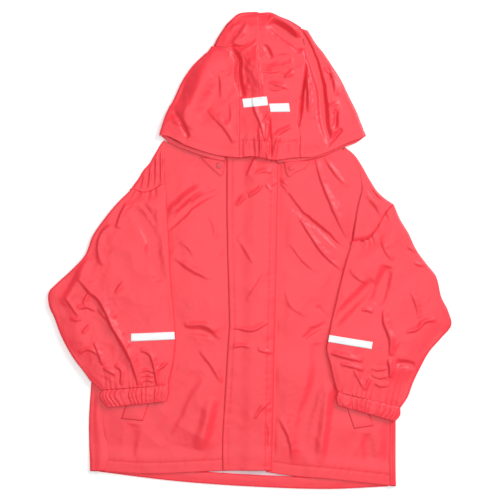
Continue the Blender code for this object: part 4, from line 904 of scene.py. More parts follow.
def stitches(name, lines, material=None, size=STITCH):
    """Rows of separate stitches, each a short bead of thread; a line is its points and its level."""
    length, width, pitch = size
    points, faces = [], []
    for line, level in lines:
        total = travelled(path(line, 8 * len(line)))[-1]
        places = path(line, max(3, round(total / pitch)))
        ways = unit(np.gradient(places, axis=0))
        heights = level(places[:, 0], places[:, 1])
        slopes = np.gradient(heights) / pitch
        for (x, y), (dx, dy), z, slope in zip(places, ways, heights, slopes):
            base = len(points)
            for along, half, rise in STITCH_RINGS:
                cx, cy, cz = x + dx * along * length, y + dy * along * length, z + slope * along * length
                side = half * width / 2
                points += [(cx - dy * side, cy + dx * side, cz + rise - 0.1),
                           (cx, cy, cz + rise + 0.18 * half),
                           (cx + dy * side, cy - dx * side, cz + rise - 0.1),
                           (cx, cy, cz + rise - 0.35)]
            for ring in range(3):
                a = base + 4 * ring
                for k in range(4):
                    n = (k + 1) % 4
                    faces.append((a + k, a + 4 + k, a + 4 + n, a + n))
            faces.append((base, base + 1, base + 2, base + 3))
            faces.append((base + 15, base + 14, base + 13, base + 12))
    return add_piece(name, mesh_from(name, points, faces), (material or THREAD,))


# ---- body --------------------------------------------------------------------------------------

STEP = 1.7                    # distance between the points of a visible surface
COARSE = 4.5                  # of a hidden one
FOLD_REACH = 4.0              # width of the rounded part at a folded edge
BACK_REACH = 5.0
WRAP_COLUMNS = 26
BACK_COLUMNS = 56
FOLD_STEPS = 7
WRAP_SWELL = (0.9, -200.0, 30.0)   # height of the side wraps' swelling, the y where it starts, and its fade
HEM_SWELL = 0.9               # of the back's turned-up hem


def swing(start, end, bends, count):
    """How far a curve through the bends leaves the straight line between its ends."""
    ends = np.array([start, end])
    line = path(np.vstack([ends[:1], bends, ends[1:]]), count)
    return line - between(ends[:1], ends[1:], count)[0]


def on_table(x, y):
    return np.full(x.shape, BACK_LEVEL)


def back_grid():
    """The back: from the right wrap round its fold, under the body and up to the left wrap."""
    edges, ends = BACK_SECTIONS[:, [0, 1, 5, 6]], BACK_SECTIONS[:, [2, 3, 4, 7, 8, 9]]
    places = travelled(edges)
    at = np.concatenate([np.linspace(a, b, max(1, math.ceil((b - a) / COARSE)), endpoint=False)
                         for a, b in zip(places, places[1:])] + [places[-1:]])
    edge = hermite(edges, places, at)
    end = np.full((len(at), 6), NONE)
    for first, last in (SHOULDER_ROWS, SIDE_ROWS):
        inside = (at >= places[first]) & (at <= places[last])
        end[inside] = hermite(ends[first:last + 1], places[first:last + 1], at[inside])
    start, stop = places[list(SEAM_BEND_ROWS)]
    near_seam = smooth((at - start) / (stop - start)) * (at <= stop)
    start, stop = places[list(HEM_BEND_ROWS)]
    near_hem = smooth((at - start) / (stop - start))
    sides, starts = [], []
    for column, seam in ((0, RIGHT_SLEEVE_SEAM), (1, LEFT_SLEEVE_SEAM)):
        e = edge[:, 2 * column:2 * column + 2]
        w, level = end[:, 3 * column:3 * column + 2], end[:, 3 * column + 2]
        inward = unit(w - e)
        reach = np.minimum(BACK_REACH, 0.3 * np.linalg.norm(w - e, axis=1))
        turn = e + inward * reach[:, None]
        seam_row = BACK_SECTIONS[SHOULDER_ROWS[1], 5 * column:5 * column + 4]
        bend = swing(seam_row[:2], seam_row[2:], seam, WRAP_COLUMNS)
        flat = between(turn, w, WRAP_COLUMNS) + bend * near_seam[:, None, None]
        share = np.linspace(0.0, 1.0, WRAP_COLUMNS)
        swollen = smooth((WRAP_SWELL[1] - flat[..., 1]) / WRAP_SWELL[2])
        lift_side = WRAP_SWELL[0] * np.sin(np.pi * share) ** 2 * swollen
        z = wrap_z(flat[..., 0], flat[..., 1], level[:, None]) + lift_side
        fold = folded_edge(e, inward, np.full(len(e), BACK_LEVEL), z[:, 0], reach, FOLD_STEPS)
        sides.append(np.concatenate([fold, np.concatenate([flat, z[..., None]], axis=-1)], axis=1))
        starts.append(np.where(np.isnan(level)[:, None], e, turn))
    hem_bend = swing(starts[0][-1], starts[1][-1], BACK_HEM_BENDS, BACK_COLUMNS)
    middle = between(starts[0], starts[1], BACK_COLUMNS) + hem_bend * near_hem[:, None, None]
    turned = turned_edge(middle[-1, 1:-1], on_table, LAYER, BACK_HEM_TURN, rows_back=6)
    share = np.linspace(0.0, 1.0, 6)[:, None]
    uneven = 0.5 + 0.5 * waves(turned[5:, :, 0], turned[5:, :, 1], size=14.0, seed=201)
    turned[5:, :, 2] += HEM_SWELL * np.sin(np.pi * share) * uneven
    middle = lift(middle, on_table)
    middle[-1, 1:-1] = turned[0]
    body = np.concatenate([sides[0][:, ::-1], middle, sides[1]], axis=1)
    blank = np.full((len(turned) - 1,) + body.shape[1:], NONE)
    first = sides[0].shape[1] + 1
    blank[:, first:first + BACK_COLUMNS - 2] = turned[1:]
    return np.concatenate([body, blank])


SEAM_TUCK = 4.0               # the fronts run this far below the wrapped cloth of the back


SEAM_DIP = (0.8, 0.4)         # how far the tucked edge and the next points lie lower


def front_grid(sections, neck, hem, side):
    """A front: sections from the side seam to the zip, and a hem turned up inside."""
    columns = round(abs(hem[0][0] - hem[-1][0]) / STEP)

    def tucked(x, y, *others):
        return path(((x + side * SEAM_TUCK, y),) + others, columns)

    rows = [tucked(*neck[0], *neck[1:])]
    for x, y, zip_y in sections:
        rows.append(tucked(x, y, (zip_x(zip_y) + side * (ZIP_TAPE + 2 * GAP), zip_y)))
    rows.append(tucked(*hem[0], *hem[1:]))
    flat = dense(np.stack(rows), STEP)

    def level(x, y):
        return front_z(x, y, side)

    grid = np.concatenate([lift(flat[:-1], level), turned_edge(flat[-1], level, -LAYER, HEM_TURN)])
    for column, dip in enumerate(SEAM_DIP):
        grid[:, column, 2] -= dip
    return grid


FLAP_SPACING = 1.5            # distance between its columns
FLAP_ROWS = 330
FLAP_UNDER = ((3.0, -1.1), (0.1, -0.8))      # the folded sides of the flap: inset and drop


def flap_grid():
    y = np.linspace(FLAP_SECTIONS[0][0], FLAP_SECTIONS[-1][0], FLAP_ROWS)
    free, sewn = np.interp(y, FLAP_Y, FLAP_FREE), np.interp(y, FLAP_Y, FLAP_SEWN)
    columns = round((sewn[0] - free[0]) / FLAP_SPACING)
    start, end = np.stack([free, y], axis=1), np.stack([sewn, y], axis=1)
    grid = lift(between(start, end, columns), flap_z)
    left, right = [], []
    for inset, drop in FLAP_UNDER:
        left.append(grid[:, 0] + (inset, 0.0, drop))
        right.insert(0, grid[:, -1] + (-inset, 0.0, drop))
    return np.concatenate([np.stack(left, axis=1), grid, np.stack(right, axis=1)], axis=1)


WELT_GRID = (50, 16)          # rows, columns
WELT_ROUND = (0.06, 0.2)      # shares of its length and width over which its edges are rounded
WELT_LIFT = 0.4               # of its edges over the front, and of its middle over the edges


def welt_grid(corners, side):
    low_outer, low_inner, high_inner, high_outer = corners
    flat = loft((high_outer, low_outer), (high_inner, low_inner), *WELT_GRID)
    across, along = np.meshgrid(np.linspace(0.0, 1.0, WELT_GRID[1]), np.linspace(0.0, 1.0, WELT_GRID[0]))
    rounded = smooth(np.minimum(across, 1.0 - across) / WELT_ROUND[1])
    rounded = rounded * smooth(np.minimum(along, 1.0 - along) / WELT_ROUND[0])
    grid = lift(flat, lambda x, y: front_z(x, y, side) + WELT_LIFT)
    grid[..., 2] += WELT_LIFT * rounded
    return grid


# ---- sleeves -----------------------------------------------------------------------------------

UNDERARM = 0.45               # place of the seam under the sleeve, as a share of its width
SEAM_BEND_FADE = 110.0        # how far down a sleeve the curve of its shoulder seam dies out


def tube_grid(table, step, upper, lower, lower_inner, columns, tuck, bends=(), reach=FOLD_REACH):
    """A flattened tube: from the underarm seam round the outer fold, over the top and back under.

    tuck: how far the upper layer runs on below the piece that it is sewn to.
    """
    widths = np.linalg.norm(table[:, 0:2] - table[:, 2:4], axis=1)
    slits = table[:, 4:6] if table.shape[1] > 4 else np.full((len(table), 2), NONE)
    first = np.where(np.isnan(slits[:, 0]), UNDERARM * widths, slits[:, 0])
    last = np.where(np.isnan(slits[:, 1]), (1.0 - UNDERARM) * widths, slits[:, 1])
    ends = [np.column_stack([table[:, 0:2], first]), np.column_stack([table[:, 2:4], last])]
    rows = dense(np.stack(ends, axis=1), step)
    outer, inner = rows[:, 0, :2], rows[:, 1, :2]
    inward = unit(inner - outer)
    reach = np.minimum(reach, 0.2 * np.linalg.norm(inner - outer, axis=1))[:, None]
    out_turn, in_turn = outer + inward * reach, inner - inward * reach
    flat = between(out_turn, in_turn, columns)
    if len(bends):
        bend = swing(out_turn[0], in_turn[0], np.array(bends) - (0.0, 1.0), columns)
        along = travelled(outer)
        flat = flat + bend * smooth(1.0 - along / SEAM_BEND_FADE)[:, None, None]
    count = max(4, columns // 10)
    first = np.maximum(rows[:, 0, 2:3], reach + 1.0)
    last = np.maximum(rows[:, 1, 2:3], reach + 1.0)
    top = np.concatenate([flat, upper(flat)[..., None]], axis=-1)
    low_out = lift(between(outer + inward * first, out_turn, count), lower)
    low_in = lift(between(in_turn, inner - inward * last, count), lower_inner)
    round_out = folded_edge(outer, inward, low_out[:, -1, 2], top[:, 0, 2], reach[:, 0])
    round_in = folded_edge(inner, -inward, low_in[:, 0, 2], top[:, -1, 2], reach[:, 0])[:, ::-1]
    body = np.concatenate([low_out, round_out, top, round_in, low_in], axis=1)
    tucked = np.full_like(body[:1], NONE)
    above = slice(low_out.shape[1] + 1, -low_in.shape[1] - 1)
    tucked[0, above] = body[0, above] + tuck
    return np.concatenate([tucked, body])


SLEEVE_TUCK = {-1: (0.0, 3.0, -0.4), 1: (-2.2, 2.4, -0.4)}
CUFF_TUCK = (0.0, 3.0, -1.0)
SLEEVE_COLUMNS = 112
CUFF_COLUMNS = 120
CUFF_STEP = 1.4
CUFF_FOLD_REACH = 3.0
UNDER_SHOULDER_Y = -8.0       # above it a sleeve's lower layer lies on the front beside the armhole


def sleeve_grid(table, seam, side):
    def upper(flat):
        return sleeve_z(flat[..., 0], flat[..., 1], side)

    def lower_outer(x, y):
        over = np.where(y > UNDER_SHOULDER_Y, FRONT_LEVEL, sleeve_over_body(y) + SLEEVE_CLEAR)
        return sleeve_lower_z(x, y, side, over)

    def lower_inner(x, y):
        return sleeve_lower_z(x, y, side)

    return tube_grid(table, STEP, upper, lower_outer, lower_inner, SLEEVE_COLUMNS, SLEEVE_TUCK[side], seam)


def cuff_grid(table, side):
    def upper(flat):
        rows, columns = flat.shape[:2]
        share, down = np.meshgrid(np.linspace(0.0, 1.0, columns), np.linspace(0.0, 1.0, rows))
        return cuff_z(flat[..., 0], flat[..., 1], side, share, down)

    def lower(x, y):
        return sleeve_lower_z(x, y, side)

    return tube_grid(table, CUFF_STEP, upper, lower, lower, CUFF_COLUMNS, CUFF_TUCK, reach=CUFF_FOLD_REACH)


# ---- hood --------------------------------------------------------------------------------------

HOOD_COLUMNS = 76
CHEEK_COLUMNS = 44
BRIM_DROP = -1.8              # from the upper layer to its turned-up edge, and the same for the lower
CHEEK_RISE = 1.2
CHEEK_TURN = 8.0
CHEEK_SWELL = 0.1
BRIM_FADE = 34.0              # how far above the brim its curve dies out


def hood_side_grid(sections, brim_bends, cheek_bends, tip):
    """A side of the hood: its lower layer, the fold at its outline, its upper layer and the brim."""
    table = np.array(sections + (tip,))
    rows = dense(table.reshape(len(table), 3, 2), STEP)
    fold, high_end, low_end = rows[:, 0], rows[:, 1], rows[:, 2]
    inward = unit(high_end - fold)
    reach = np.minimum(FOLD_REACH, 0.25 * np.linalg.norm(high_end - fold, axis=1))
    turn = fold + inward * reach[:, None]
    low_turn = fold + unit(low_end - fold) * reach[:, None]
    fade = smooth(1.0 - travelled(high_end) / BRIM_FADE)[:, None, None]
    high = between(turn, high_end, HOOD_COLUMNS)
    high = high + fade * swing(turn[0], high_end[0], brim_bends, HOOD_COLUMNS)
    low = between(low_end, low_turn, CHEEK_COLUMNS)
    low = low + fade * swing(low_end[0], low_turn[0], cheek_bends[::-1], CHEEK_COLUMNS)
    high_z, low_z = lift(high, hood_z), lift(low, hood_lower_z)
    around = folded_edge(fold, inward, low_z[:, -1, 2], high_z[:, 0, 2], reach)
    turned_high = turned_edge(high[0], hood_z, BRIM_DROP, SIDE_BRIM_TURN)[::-1]
    turned_low = turned_edge(low[0], hood_lower_z, CHEEK_RISE, CHEEK_TURN)[::-1]
    turned_low[:4, :, 2] += CHEEK_SWELL * np.sin(np.linspace(0.2, 2.6, 4))[:, None]
    high_z[0], low_z[0] = turned_high[-1], turned_low[-1]
    body = np.concatenate([low_z, around, high_z], axis=1)
    blank = np.full((len(turned_high) - 1,) + body.shape[1:], NONE)
    blank[:, :CHEEK_COLUMNS] = turned_low[:-1]
    blank[:, -HOOD_COLUMNS:] = turned_high[:-1]
    return np.concatenate([blank, body])


LEFT_OF_PLEAT = 44            # columns
RIGHT_OF_PLEAT = 42
# Round the pleat's visible fold and back under it, then round the hidden one: across, up
PLEAT_TURN = ((0.35, -0.35), (0.45, -0.7), (-0.3, -1.0), (-2.2, -1.15), (-4.2, -1.15), (-6.2, -1.15),
              (-8.2, -1.15), (-10.2, -1.15))
PLEAT_RETURN = ((0.3, 0.5), (-0.4, 0.4), (-0.4, 0.2))
ARCH_Y = 318.0                # the pleat's place at the arch where the crown starts to narrow
CROWN_Y = 350.0


def pleat_section(curve, pleat_y):
    """x and y of one section: seam to visible fold, then hidden fold to seam."""
    line = path(curve, 160)
    edge = pleat_x(pleat_y)
    x = np.concatenate([np.linspace(line[0, 0], edge, LEFT_OF_PLEAT),
                        np.linspace(edge - PLEAT_DEPTH, line[-1, 0], RIGHT_OF_PLEAT)])
    return np.stack([x, np.interp(x, line[:, 0], line[:, 1])], axis=1)


def with_pleat(flat):
    """The sections with the points round the pleat's two folds put in."""
    edge, hidden = flat[:, LEFT_OF_PLEAT - 1], flat[:, LEFT_OF_PLEAT]
    turn = np.stack([edge + (across, 0.0) for across, _ in PLEAT_TURN], axis=1)
    back = np.stack([hidden + (across, 0.0) for across, _ in PLEAT_RETURN], axis=1)
    return np.concatenate([flat[:, :LEFT_OF_PLEAT], turn, back, flat[:, LEFT_OF_PLEAT:]], axis=1)


def pleat_rises():
    """How far each point of a section stands above the plain cloth, on the upper and the lower layer."""
    left = PLEAT_RISE * smooth(np.linspace(0.0, 1.0, LEFT_OF_PLEAT))
    right = PLEAT_RISE * smooth(1.0 - np.linspace(0.0, 1.0, RIGHT_OF_PLEAT) * 1.4)
    turn = [PLEAT_RISE + rise for _, rise in PLEAT_TURN]
    back = [rise for _, rise in PLEAT_RETURN]
    upper = np.concatenate([left, turn, back, 0.0 * right])
    climb = np.linspace(0.0, PLEAT_RISE, len(turn) + len(back) + 2)[1:-1]
    lower = np.concatenate([0.0 * left, climb, right])
    return upper, lower


def hood_middle_grid():
    """The hood's middle: the brim's casing, the pleated upper layer, the crown's turn, the lower layer."""
    right, left = np.array(HOOD_RIGHT_SECTIONS), np.array(HOOD_LEFT_SECTIONS)
    high = []
    for i, (start, end) in enumerate(zip(right[:, 2:4], left[:, 2:4])):
        bends = BRIM_MIDDLE_BENDS if i == 0 else ()
        high.append(pleat_section((tuple(start),) + bends + (tuple(end),), (start[1] + end[1]) / 2))
    crown = pleat_section(CROWN, CROWN_Y)
    flat = with_pleat(dense(np.stack(high + [pleat_section(HOOD_UPPER_ARCH, ARCH_Y), crown]), STEP))
    upper_rise, lower_rise = pleat_rises()
    upper = lift(flat, hood_z)
    upper[..., 2] += upper_rise * (1.0 - 0.45 * smooth((upper[..., 1] - 300.0) / 30.0))
    under = turned_edge(flat[0], hood_z, BRIM_DROP, BRIM_TURN, rows_back=6)[::-1]
    under[..., 2] += upper_rise
    doubled = slice(LEFT_OF_PLEAT + 1, LEFT_OF_PLEAT + len(PLEAT_TURN) + len(PLEAT_RETURN) - 1)
    under[:, doubled] = NONE
    upper[:3, doubled] = NONE
    rim = upper[-1]
    way = unit(np.array(CROWN_HUB) - rim[:, :2])
    bottom = BACK_LEVEL + lower_rise
    radius, middle = (rim[:, 2] - bottom) / 2, (rim[:, 2] + bottom) / 2
    crown_rows = []
    for angle in np.radians(np.linspace(90.0, -90.0, FOLD_STEPS + 2)):
        spot = rim[:, :2] + way * (CROWN_TURN - radius * math.cos(angle))[:, None]
        crown_rows.append(np.column_stack([spot, middle + radius * math.sin(angle)]))
    low = [pleat_section(HOOD_LOWER_ARCH, ARCH_Y)]
    for start, end in zip(right[:4:-1, 4:6], left[:4:-1, 4:6]):
        low.append(pleat_section((tuple(start), tuple(end)), ARCH_Y))
    lower = lift(with_pleat(dense(np.stack(low), COARSE)), on_table)
    lower[..., 2] += lower_rise
    return np.concatenate([under, upper[1:-CROWN_CUT], np.stack(crown_rows), lower])


# ---- tabs, snaps and strips --------------------------------------------------------------------

TAPE = 0.3                    # thickness of the reflective strips
TAPE_GAP = 0.08               # below them
TAB_SIDES = {
    -1: (TAB_RIGHT[:2] + ((-44.8, 111.6),), (TAB_RIGHT[4], TAB_RIGHT[3], (-42.9, 111.6))),
    1: ((TAB_LEFT[0], TAB_LEFT[1], (58.4, 110.2)), (TAB_LEFT[5], TAB_LEFT[4], TAB_LEFT[3], (60.2, 110.6))),
}


TAB_LIFT = 0.9
TAB_GRID = (30, 20)           # rows, columns
TAB_SWELL = 0.4


def tab_level(x, y, side):
    return front_z(x, y, side) + TAB_LIFT


def tab_grid(side):
    first, second = TAB_SIDES[side]
    grid = lift(loft(first, second, *TAB_GRID), lambda x, y: tab_level(x, y, side))
    across = np.linspace(0.0, 1.0, TAB_GRID[1])[None, :]
    grid[..., 2] += TAB_SWELL * smooth(np.minimum(across, 1.0 - across) / 0.2)
    return grid


def turned_profile(name, centre, level, profile, material, sides=40):
    """A round piece from its profile of radii and heights, closed at the middle."""
    points = [(centre[0], centre[1], level + profile[0][1])]
    for radius, height in profile[1:]:
        for k in range(sides):
            angle = 2.0 * math.pi * k / sides
            x, y = centre[0] + radius * math.cos(angle), centre[1] + radius * math.sin(angle)
            points.append((x, y, level + height))
    faces = [(0, 1 + k, 1 + (k + 1) % sides) for k in range(sides)]
    for ring in range(len(profile) - 2):
        a = 1 + ring * sides
        for k in range(sides):
            n = (k + 1) % sides
            faces.append((a + k, a + sides + k, a + sides + n, a + n))
    last = 1 + (len(profile) - 2) * sides
    faces.append(tuple(last + k for k in reversed(range(sides))))
    return add_piece(name, mesh_from(name, points, faces), (material,))


def strip_grid(edges, level, columns, rows=9):
    (start, end), (low_start, low_end) = edges
    flat = loft((start, low_start), (end, low_end), rows, columns)
    return lift(flat, lambda x, y: level(x, y) + CLOTH / 2 + TAPE / 2 + TAPE_GAP)


def pleated_z(x, y):
    """The hood's surface left of the pleat's edge."""
    start = np.interp(y, [138.0, 237.0, 300.6], [-16.0, -16.0, -24.3])
    return hood_z(x, y) + PLEAT_RISE * smooth((x - start) / (pleat_x(y) - start))


# ---- materials ---------------------------------------------------------------------------------


def new_material(name, colour, roughness, specular=0.5, sheen=0.0, metallic=0.0):
    material = bpy.data.materials.new(name)
    material.use_nodes = True
    shader = material.node_tree.nodes["Principled BSDF"]
    shader.inputs["Base Color"].default_value = (*colour, 1.0)
    shader.inputs["Roughness"].default_value = roughness
    shader.inputs["Specular IOR Level"].default_value = specular
    shader.inputs["Metallic"].default_value = metallic
    shader.inputs["Sheen Weight"].default_value = sheen
    shader.inputs["Sheen Roughness"].default_value = 0.4
    return material, material.node_tree.nodes, material.node_tree.links, shader


def add_noise(nodes, links, source, size, detail, stretch=(1.0, 1.0, 1.0)):
    """Noise with features about size millimetres wide."""
    mapping = nodes.new("ShaderNodeMapping")
    mapping.inputs["Scale"].default_value = tuple(1000.0 / size * s for s in stretch)
    noise = nodes.new("ShaderNodeTexNoise")
    noise.inputs["Scale"].default_value = 1.0
    noise.inputs["Detail"].default_value = detail
    links.new(source, mapping.inputs["Vector"])
    links.new(mapping.outputs["Vector"], noise.inputs["Vector"])
    return noise.outputs["Fac"]


WARP, WEFT = 0.55 * math.pi, 0.5 * math.pi      # millimetres from one thread to the next


def add_threads(nodes, links, source, pitch, direction):
    """One set of parallel threads; a wave texture's bands are pi / (10 scale) metres apart."""
    wave = nodes.new("ShaderNodeTexWave")
    wave.wave_type = "BANDS"
    wave.bands_direction = direction
    wave.inputs["Scale"].default_value = math.pi / (10.0 * pitch * MM)
    wave.inputs["Distortion"].default_value = 0.6
    wave.inputs["Detail"].default_value = 1.0
    wave.inputs["Detail Scale"].default_value = 0.3
    links.new(source, wave.inputs["Vector"])
    return wave.outputs["Fac"]


def add_bump(nodes, links, height, distance, strength, normal=None):
    bump = nodes.new("ShaderNodeBump")
    bump.inputs["Distance"].default_value = distance * MM
    bump.inputs["Strength"].default_value = strength
    links.new(height, bump.inputs["Height"])
    if normal is not None:
        links.new(normal, bump.inputs["Normal"])
    return bump.outputs["Normal"]


def colour_between(nodes, links, factor, first, second, low=0.3, high=0.7):
    ramp = nodes.new("ShaderNodeValToRGB")
    ramp.color_ramp.elements[0].position, ramp.color_ramp.elements[1].position = low, high
    ramp.color_ramp.elements[0].color, ramp.color_ramp.elements[1].color = (*first, 1.0), (*second, 1.0)
    links.new(factor, ramp.inputs["Fac"])
    return ramp.outputs["Color"]


def make_fabric(name, colour, roughness, specular, sheen, crinkle, weave, variation=0.03):
    """Coated taffeta: fine crossed threads, an uneven coat and small crinkles."""
    material, nodes, links, shader = new_material(name, colour, roughness, specular, sheen)
    coordinates = nodes.new("ShaderNodeTexCoord")
    cut, place = coordinates.outputs["UV"], coordinates.outputs["Object"]
    warp = add_threads(nodes, links, cut, WARP, "X")
    weft = add_threads(nodes, links, cut, WEFT, "Y")
    slubs = add_noise(nodes, links, cut, 3.2, 2.0, (0.25, 2.2, 1.0))
    small = add_noise(nodes, links, place, 5.0, 3.0)
    large = add_noise(nodes, links, place, 17.0, 2.0)
    normal = None
    for height, distance, strength in ((warp, 0.02, weave), (weft, 0.02, weave), (slubs, 0.05, weave),
                                       (small, 0.35, crinkle), (large, 1.0, crinkle)):
        normal = add_bump(nodes, links, height, distance, strength, normal)
    links.new(normal, shader.inputs["Normal"])
    mottle = add_noise(nodes, links, place, 24.0, 4.0)
    dark = tuple(channel * (1.0 - 2.0 * variation) for channel in colour)
    links.new(colour_between(nodes, links, mottle, dark, colour), shader.inputs["Base Color"])
    return material


def make_plain(name, colour, roughness, specular=0.5, grain=0.5, depth=0.02, metallic=0.0):
    material, nodes, links, shader = new_material(name, colour, roughness, specular, 0.0, metallic)
    place = nodes.new("ShaderNodeTexCoord").outputs["Object"]
    links.new(add_bump(nodes, links, add_noise(nodes, links, place, grain, 2.0), depth, 0.5),
              shader.inputs["Normal"])
    light = tuple(min(1.0, channel * 1.04) for channel in colour)
    links.new(colour_between(nodes, links, add_noise(nodes, links, place, 9.0, 3.0), colour, light),
              shader.inputs["Base Color"])
    return material


def make_tape(name):
    """Retroreflective tape: pale grey, with fine beads and faint streaks along it."""
    material, nodes, links, shader = new_material(name, (0.86, 0.87, 0.89), 0.38, 0.5)
    cut = nodes.new("ShaderNodeTexCoord").outputs["UV"]
    beads = add_noise(nodes, links, cut, 0.35, 1.0)
    streaks = add_noise(nodes, links, cut, 3.0, 3.0, (0.2, 1.6, 1.0))
    normal = add_bump(nodes, links, beads, 0.015, 0.5)
    normal = add_bump(nodes, links, streaks, 0.12, 0.5, normal)
    links.new(normal, shader.inputs["Normal"])
    links.new(colour_between(nodes, links, streaks, (0.78, 0.80, 0.83), (0.9, 0.91, 0.92)),
              shader.inputs["Base Color"])
    return material


SHELL_RED = (0.93, 0.034, 0.056)
SHELL = make_fabric("shell", SHELL_RED, 0.42, 0.47, 0.12, crinkle=0.28, weave=0.35)
# The reverse's own coat is white; the pink in this colour is painted red bounce light from the shell cloth.
REVERSE = make_fabric("coated_reverse_painted_bounce", (0.84, 0.66, 0.69), 0.5, 0.4, 0.0, crinkle=0.2, weave=0.2)
THREAD = make_plain("thread", (0.9, 0.06, 0.08), 0.6, 0.3)
TAPE_THREAD = make_plain("tape_thread", (0.8, 0.8, 0.82), 0.6, 0.3)
TAPE_FACE = make_tape("reflective_tape")
SNAP_FACE = make_plain("snap_lacquer", (0.66, 0.035, 0.05), 0.34, 0.5, depth=0.01)
ZIP_TAPE_CLOTH = make_plain("zip_tape_cloth", (0.55, 0.04, 0.06), 0.75, 0.3, 0.6, 0.04)
ZIP_COIL = make_plain("zip_coil", (0.5, 0.04, 0.06), 0.4)
SLIDER_LACQUER = make_plain("slider_lacquer", (0.45, 0.035, 0.05), 0.35, 0.5, depth=0.01)

for node, face in (("zip_tape_right", ZIP_TAPE_CLOTH), ("zip_tape_left", ZIP_TAPE_CLOTH),
                   ("zip_chain", ZIP_COIL), ("zip_slider", SLIDER_LACQUER)):
    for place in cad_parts[node].material_slots:
        place.material = face

# ---- pieces ------------------------------------------------------------------------------------

FLAP_WALL = 0.9
CUFF_WALL = 0.9
WELT_WALL = 0.8
TAB_WALL = 0.8

pieces = {
    "back_panel": cloth("back_panel", back_grid(), outside_up=False),
    "front_right": cloth(
        "front_right", front_grid(FRONT_RIGHT_SECTIONS, FRONT_RIGHT_NECK, FRONT_RIGHT_HEM, -1)),
    "front_left": cloth(
        "front_left", front_grid(FRONT_LEFT_SECTIONS, FRONT_LEFT_NECK, FRONT_LEFT_HEM, 1), outside_up=False),
    "storm_flap": cloth("storm_flap", flap_grid(), wall=FLAP_WALL),
    "pocket_welt_right": cloth("pocket_welt_right", welt_grid(WELT_RIGHT, -1), wall=WELT_WALL),
    "pocket_welt_left": cloth(
        "pocket_welt_left", welt_grid(WELT_LEFT, 1), outside_up=False, wall=WELT_WALL),
    "sleeve_right": cloth("sleeve_right", sleeve_grid(SLEEVE_RIGHT, RIGHT_SLEEVE_SEAM, -1)),
    "sleeve_left": cloth("sleeve_left", sleeve_grid(SLEEVE_LEFT, LEFT_SLEEVE_SEAM, 1), outside_up=False),
    "cuff_right": cloth("cuff_right", cuff_grid(CUFF_RIGHT, -1), wall=CUFF_WALL),
    "cuff_left": cloth("cuff_left", cuff_grid(CUFF_LEFT, 1), outside_up=False, wall=CUFF_WALL),
    "hood_side_right": cloth(
        "hood_side_right",
        hood_side_grid(HOOD_RIGHT_SECTIONS, RIGHT_BRIM_BENDS, RIGHT_CHEEK_BENDS, RIGHT_SIDE_TIP),
        outside_up=False),
    "hood_side_left": cloth(
        "hood_side_left",
        hood_side_grid(HOOD_LEFT_SECTIONS, LEFT_BRIM_BENDS, LEFT_CHEEK_BENDS, LEFT_SIDE_TIP)),
    "hood_middle": cloth("hood_middle", hood_middle_grid(), outside_up=False),
    "hood_tab_right": cloth("hood_tab_right", tab_grid(-1), wall=TAB_WALL),
    "hood_tab_left": cloth("hood_tab_left", tab_grid(1), wall=TAB_WALL),
}

for node, edges, level, columns in (
        ("sleeve_strip_right", STRIP_RIGHT, lambda x, y: sleeve_z(x, y, -1), 60),
        ("sleeve_strip_left", STRIP_LEFT, lambda x, y: sleeve_z(x, y, 1), 60),
        ("hood_strip_right", HOOD_STRIP_RIGHT, pleated_z, 40),
        ("hood_strip_left", HOOD_STRIP_LEFT, hood_z, 34)):
    pieces[node] = cloth(node, strip_grid(edges, level, columns), wall=TAPE,
                         materials=(TAPE_FACE,))

# Radius and height of a snap's cap, from its middle outwards
DISC = ((0.0, 1.15), (1.6, 1.15), (2.6, 1.0), (3.1, 0.75), (3.5, 0.95), (4.3, 0.85), (4.8, 0.5),
        (4.9, -0.3))
SNAP_LIFT = 0.7               # over the tab
for node, spot, side in (("snap_right", SNAP_RIGHT, -1), ("snap_left", SNAP_LEFT, 1)):
    centre = np.array(spot)
    level = float(tab_level(centre[:1], centre[1:], side)[0]) + SNAP_LIFT
    face = SNAP_FACE if side < 0 else SHELL
    cap = turned_profile("button_" + node, centre, level, DISC, face)
    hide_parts(node)

# ---- stitches ----------------------------------------------------------------------------------


def shifted(points, dx, dy):
    return tuple((x + dx, y + dy) for x, y in points)


def on(surface, *facts):
    """The level of the stitches on a surface."""
    return lambda x, y: surface(x, y, *facts) + CLOTH / 2


def on_flap(x, y):
    return flap_z(x, y) + FLAP_WALL / 2


FREE_STITCH = tuple((x + FLAP_TOPSTITCH, y) for y, x, _ in FLAP_SECTIONS[1:-1]) + ((-34.0, -325.0),)
SEWN_STITCH = tuple((x - FLAP_STITCH, y) for y, _, x in FLAP_SECTIONS[1:-1]) + ((24.0, -322.0),)
stitches("stitches_flap", (
    (FREE_STITCH, on_flap), (SEWN_STITCH, on_flap),
    (((-38.0, -321.0), (-10.0, -321.4), (32.0, -321.0)), on_flap),
    (((33.0, -331.0), (24.5, -331.0)), on_flap), (((24.5, -331.0), (24.5, -321.0)), on_flap)))
stitches("stitches_fronts", (
    (((-215.0, -317.0), (-160.0, -319.5), (-110.0, -318.0), (-52.5, -316.0)), on(front_z, -1)),
    (((38.0, -317.5), (61.5, -321.0), (123.0, -328.5), (160.0, -332.0), (207.0, -337.5)), on(front_z, 1)),
    (((-177.5, -252.0), (-168.0, -224.0)), on(front_z, -1)),
    (((-75.0, 136.0), (-47.5, 115.8), (-43.5, 114.0), (-40.5, 133.0)), on(tab_level, -1)),
    (((54.0, 131.0), (59.0, 113.5), (70.0, 120.0), (85.0, 130.0)), on(tab_level, 1))))
stitches("stitches_hood", (
    (CASING_LINE, on(hood_z)),
    (shifted(RIGHT_HOOD_SEAM[1:], -2.2, 0.0), on(hood_z)),
    (shifted(LEFT_HOOD_SEAM[1:-1], 2.4, 0.0), on(hood_z)),
    (((-124.0, 180.0), (-100.0, 170.5), (-78.0, 163.0), (-55.5, 157.0), (-20.0, 152.0)), on(hood_z)),
    (((80.0, 152.5), (97.0, 153.0), (120.0, 161.0), (145.0, 171.5), (164.0, 179.0)), on(hood_z))))


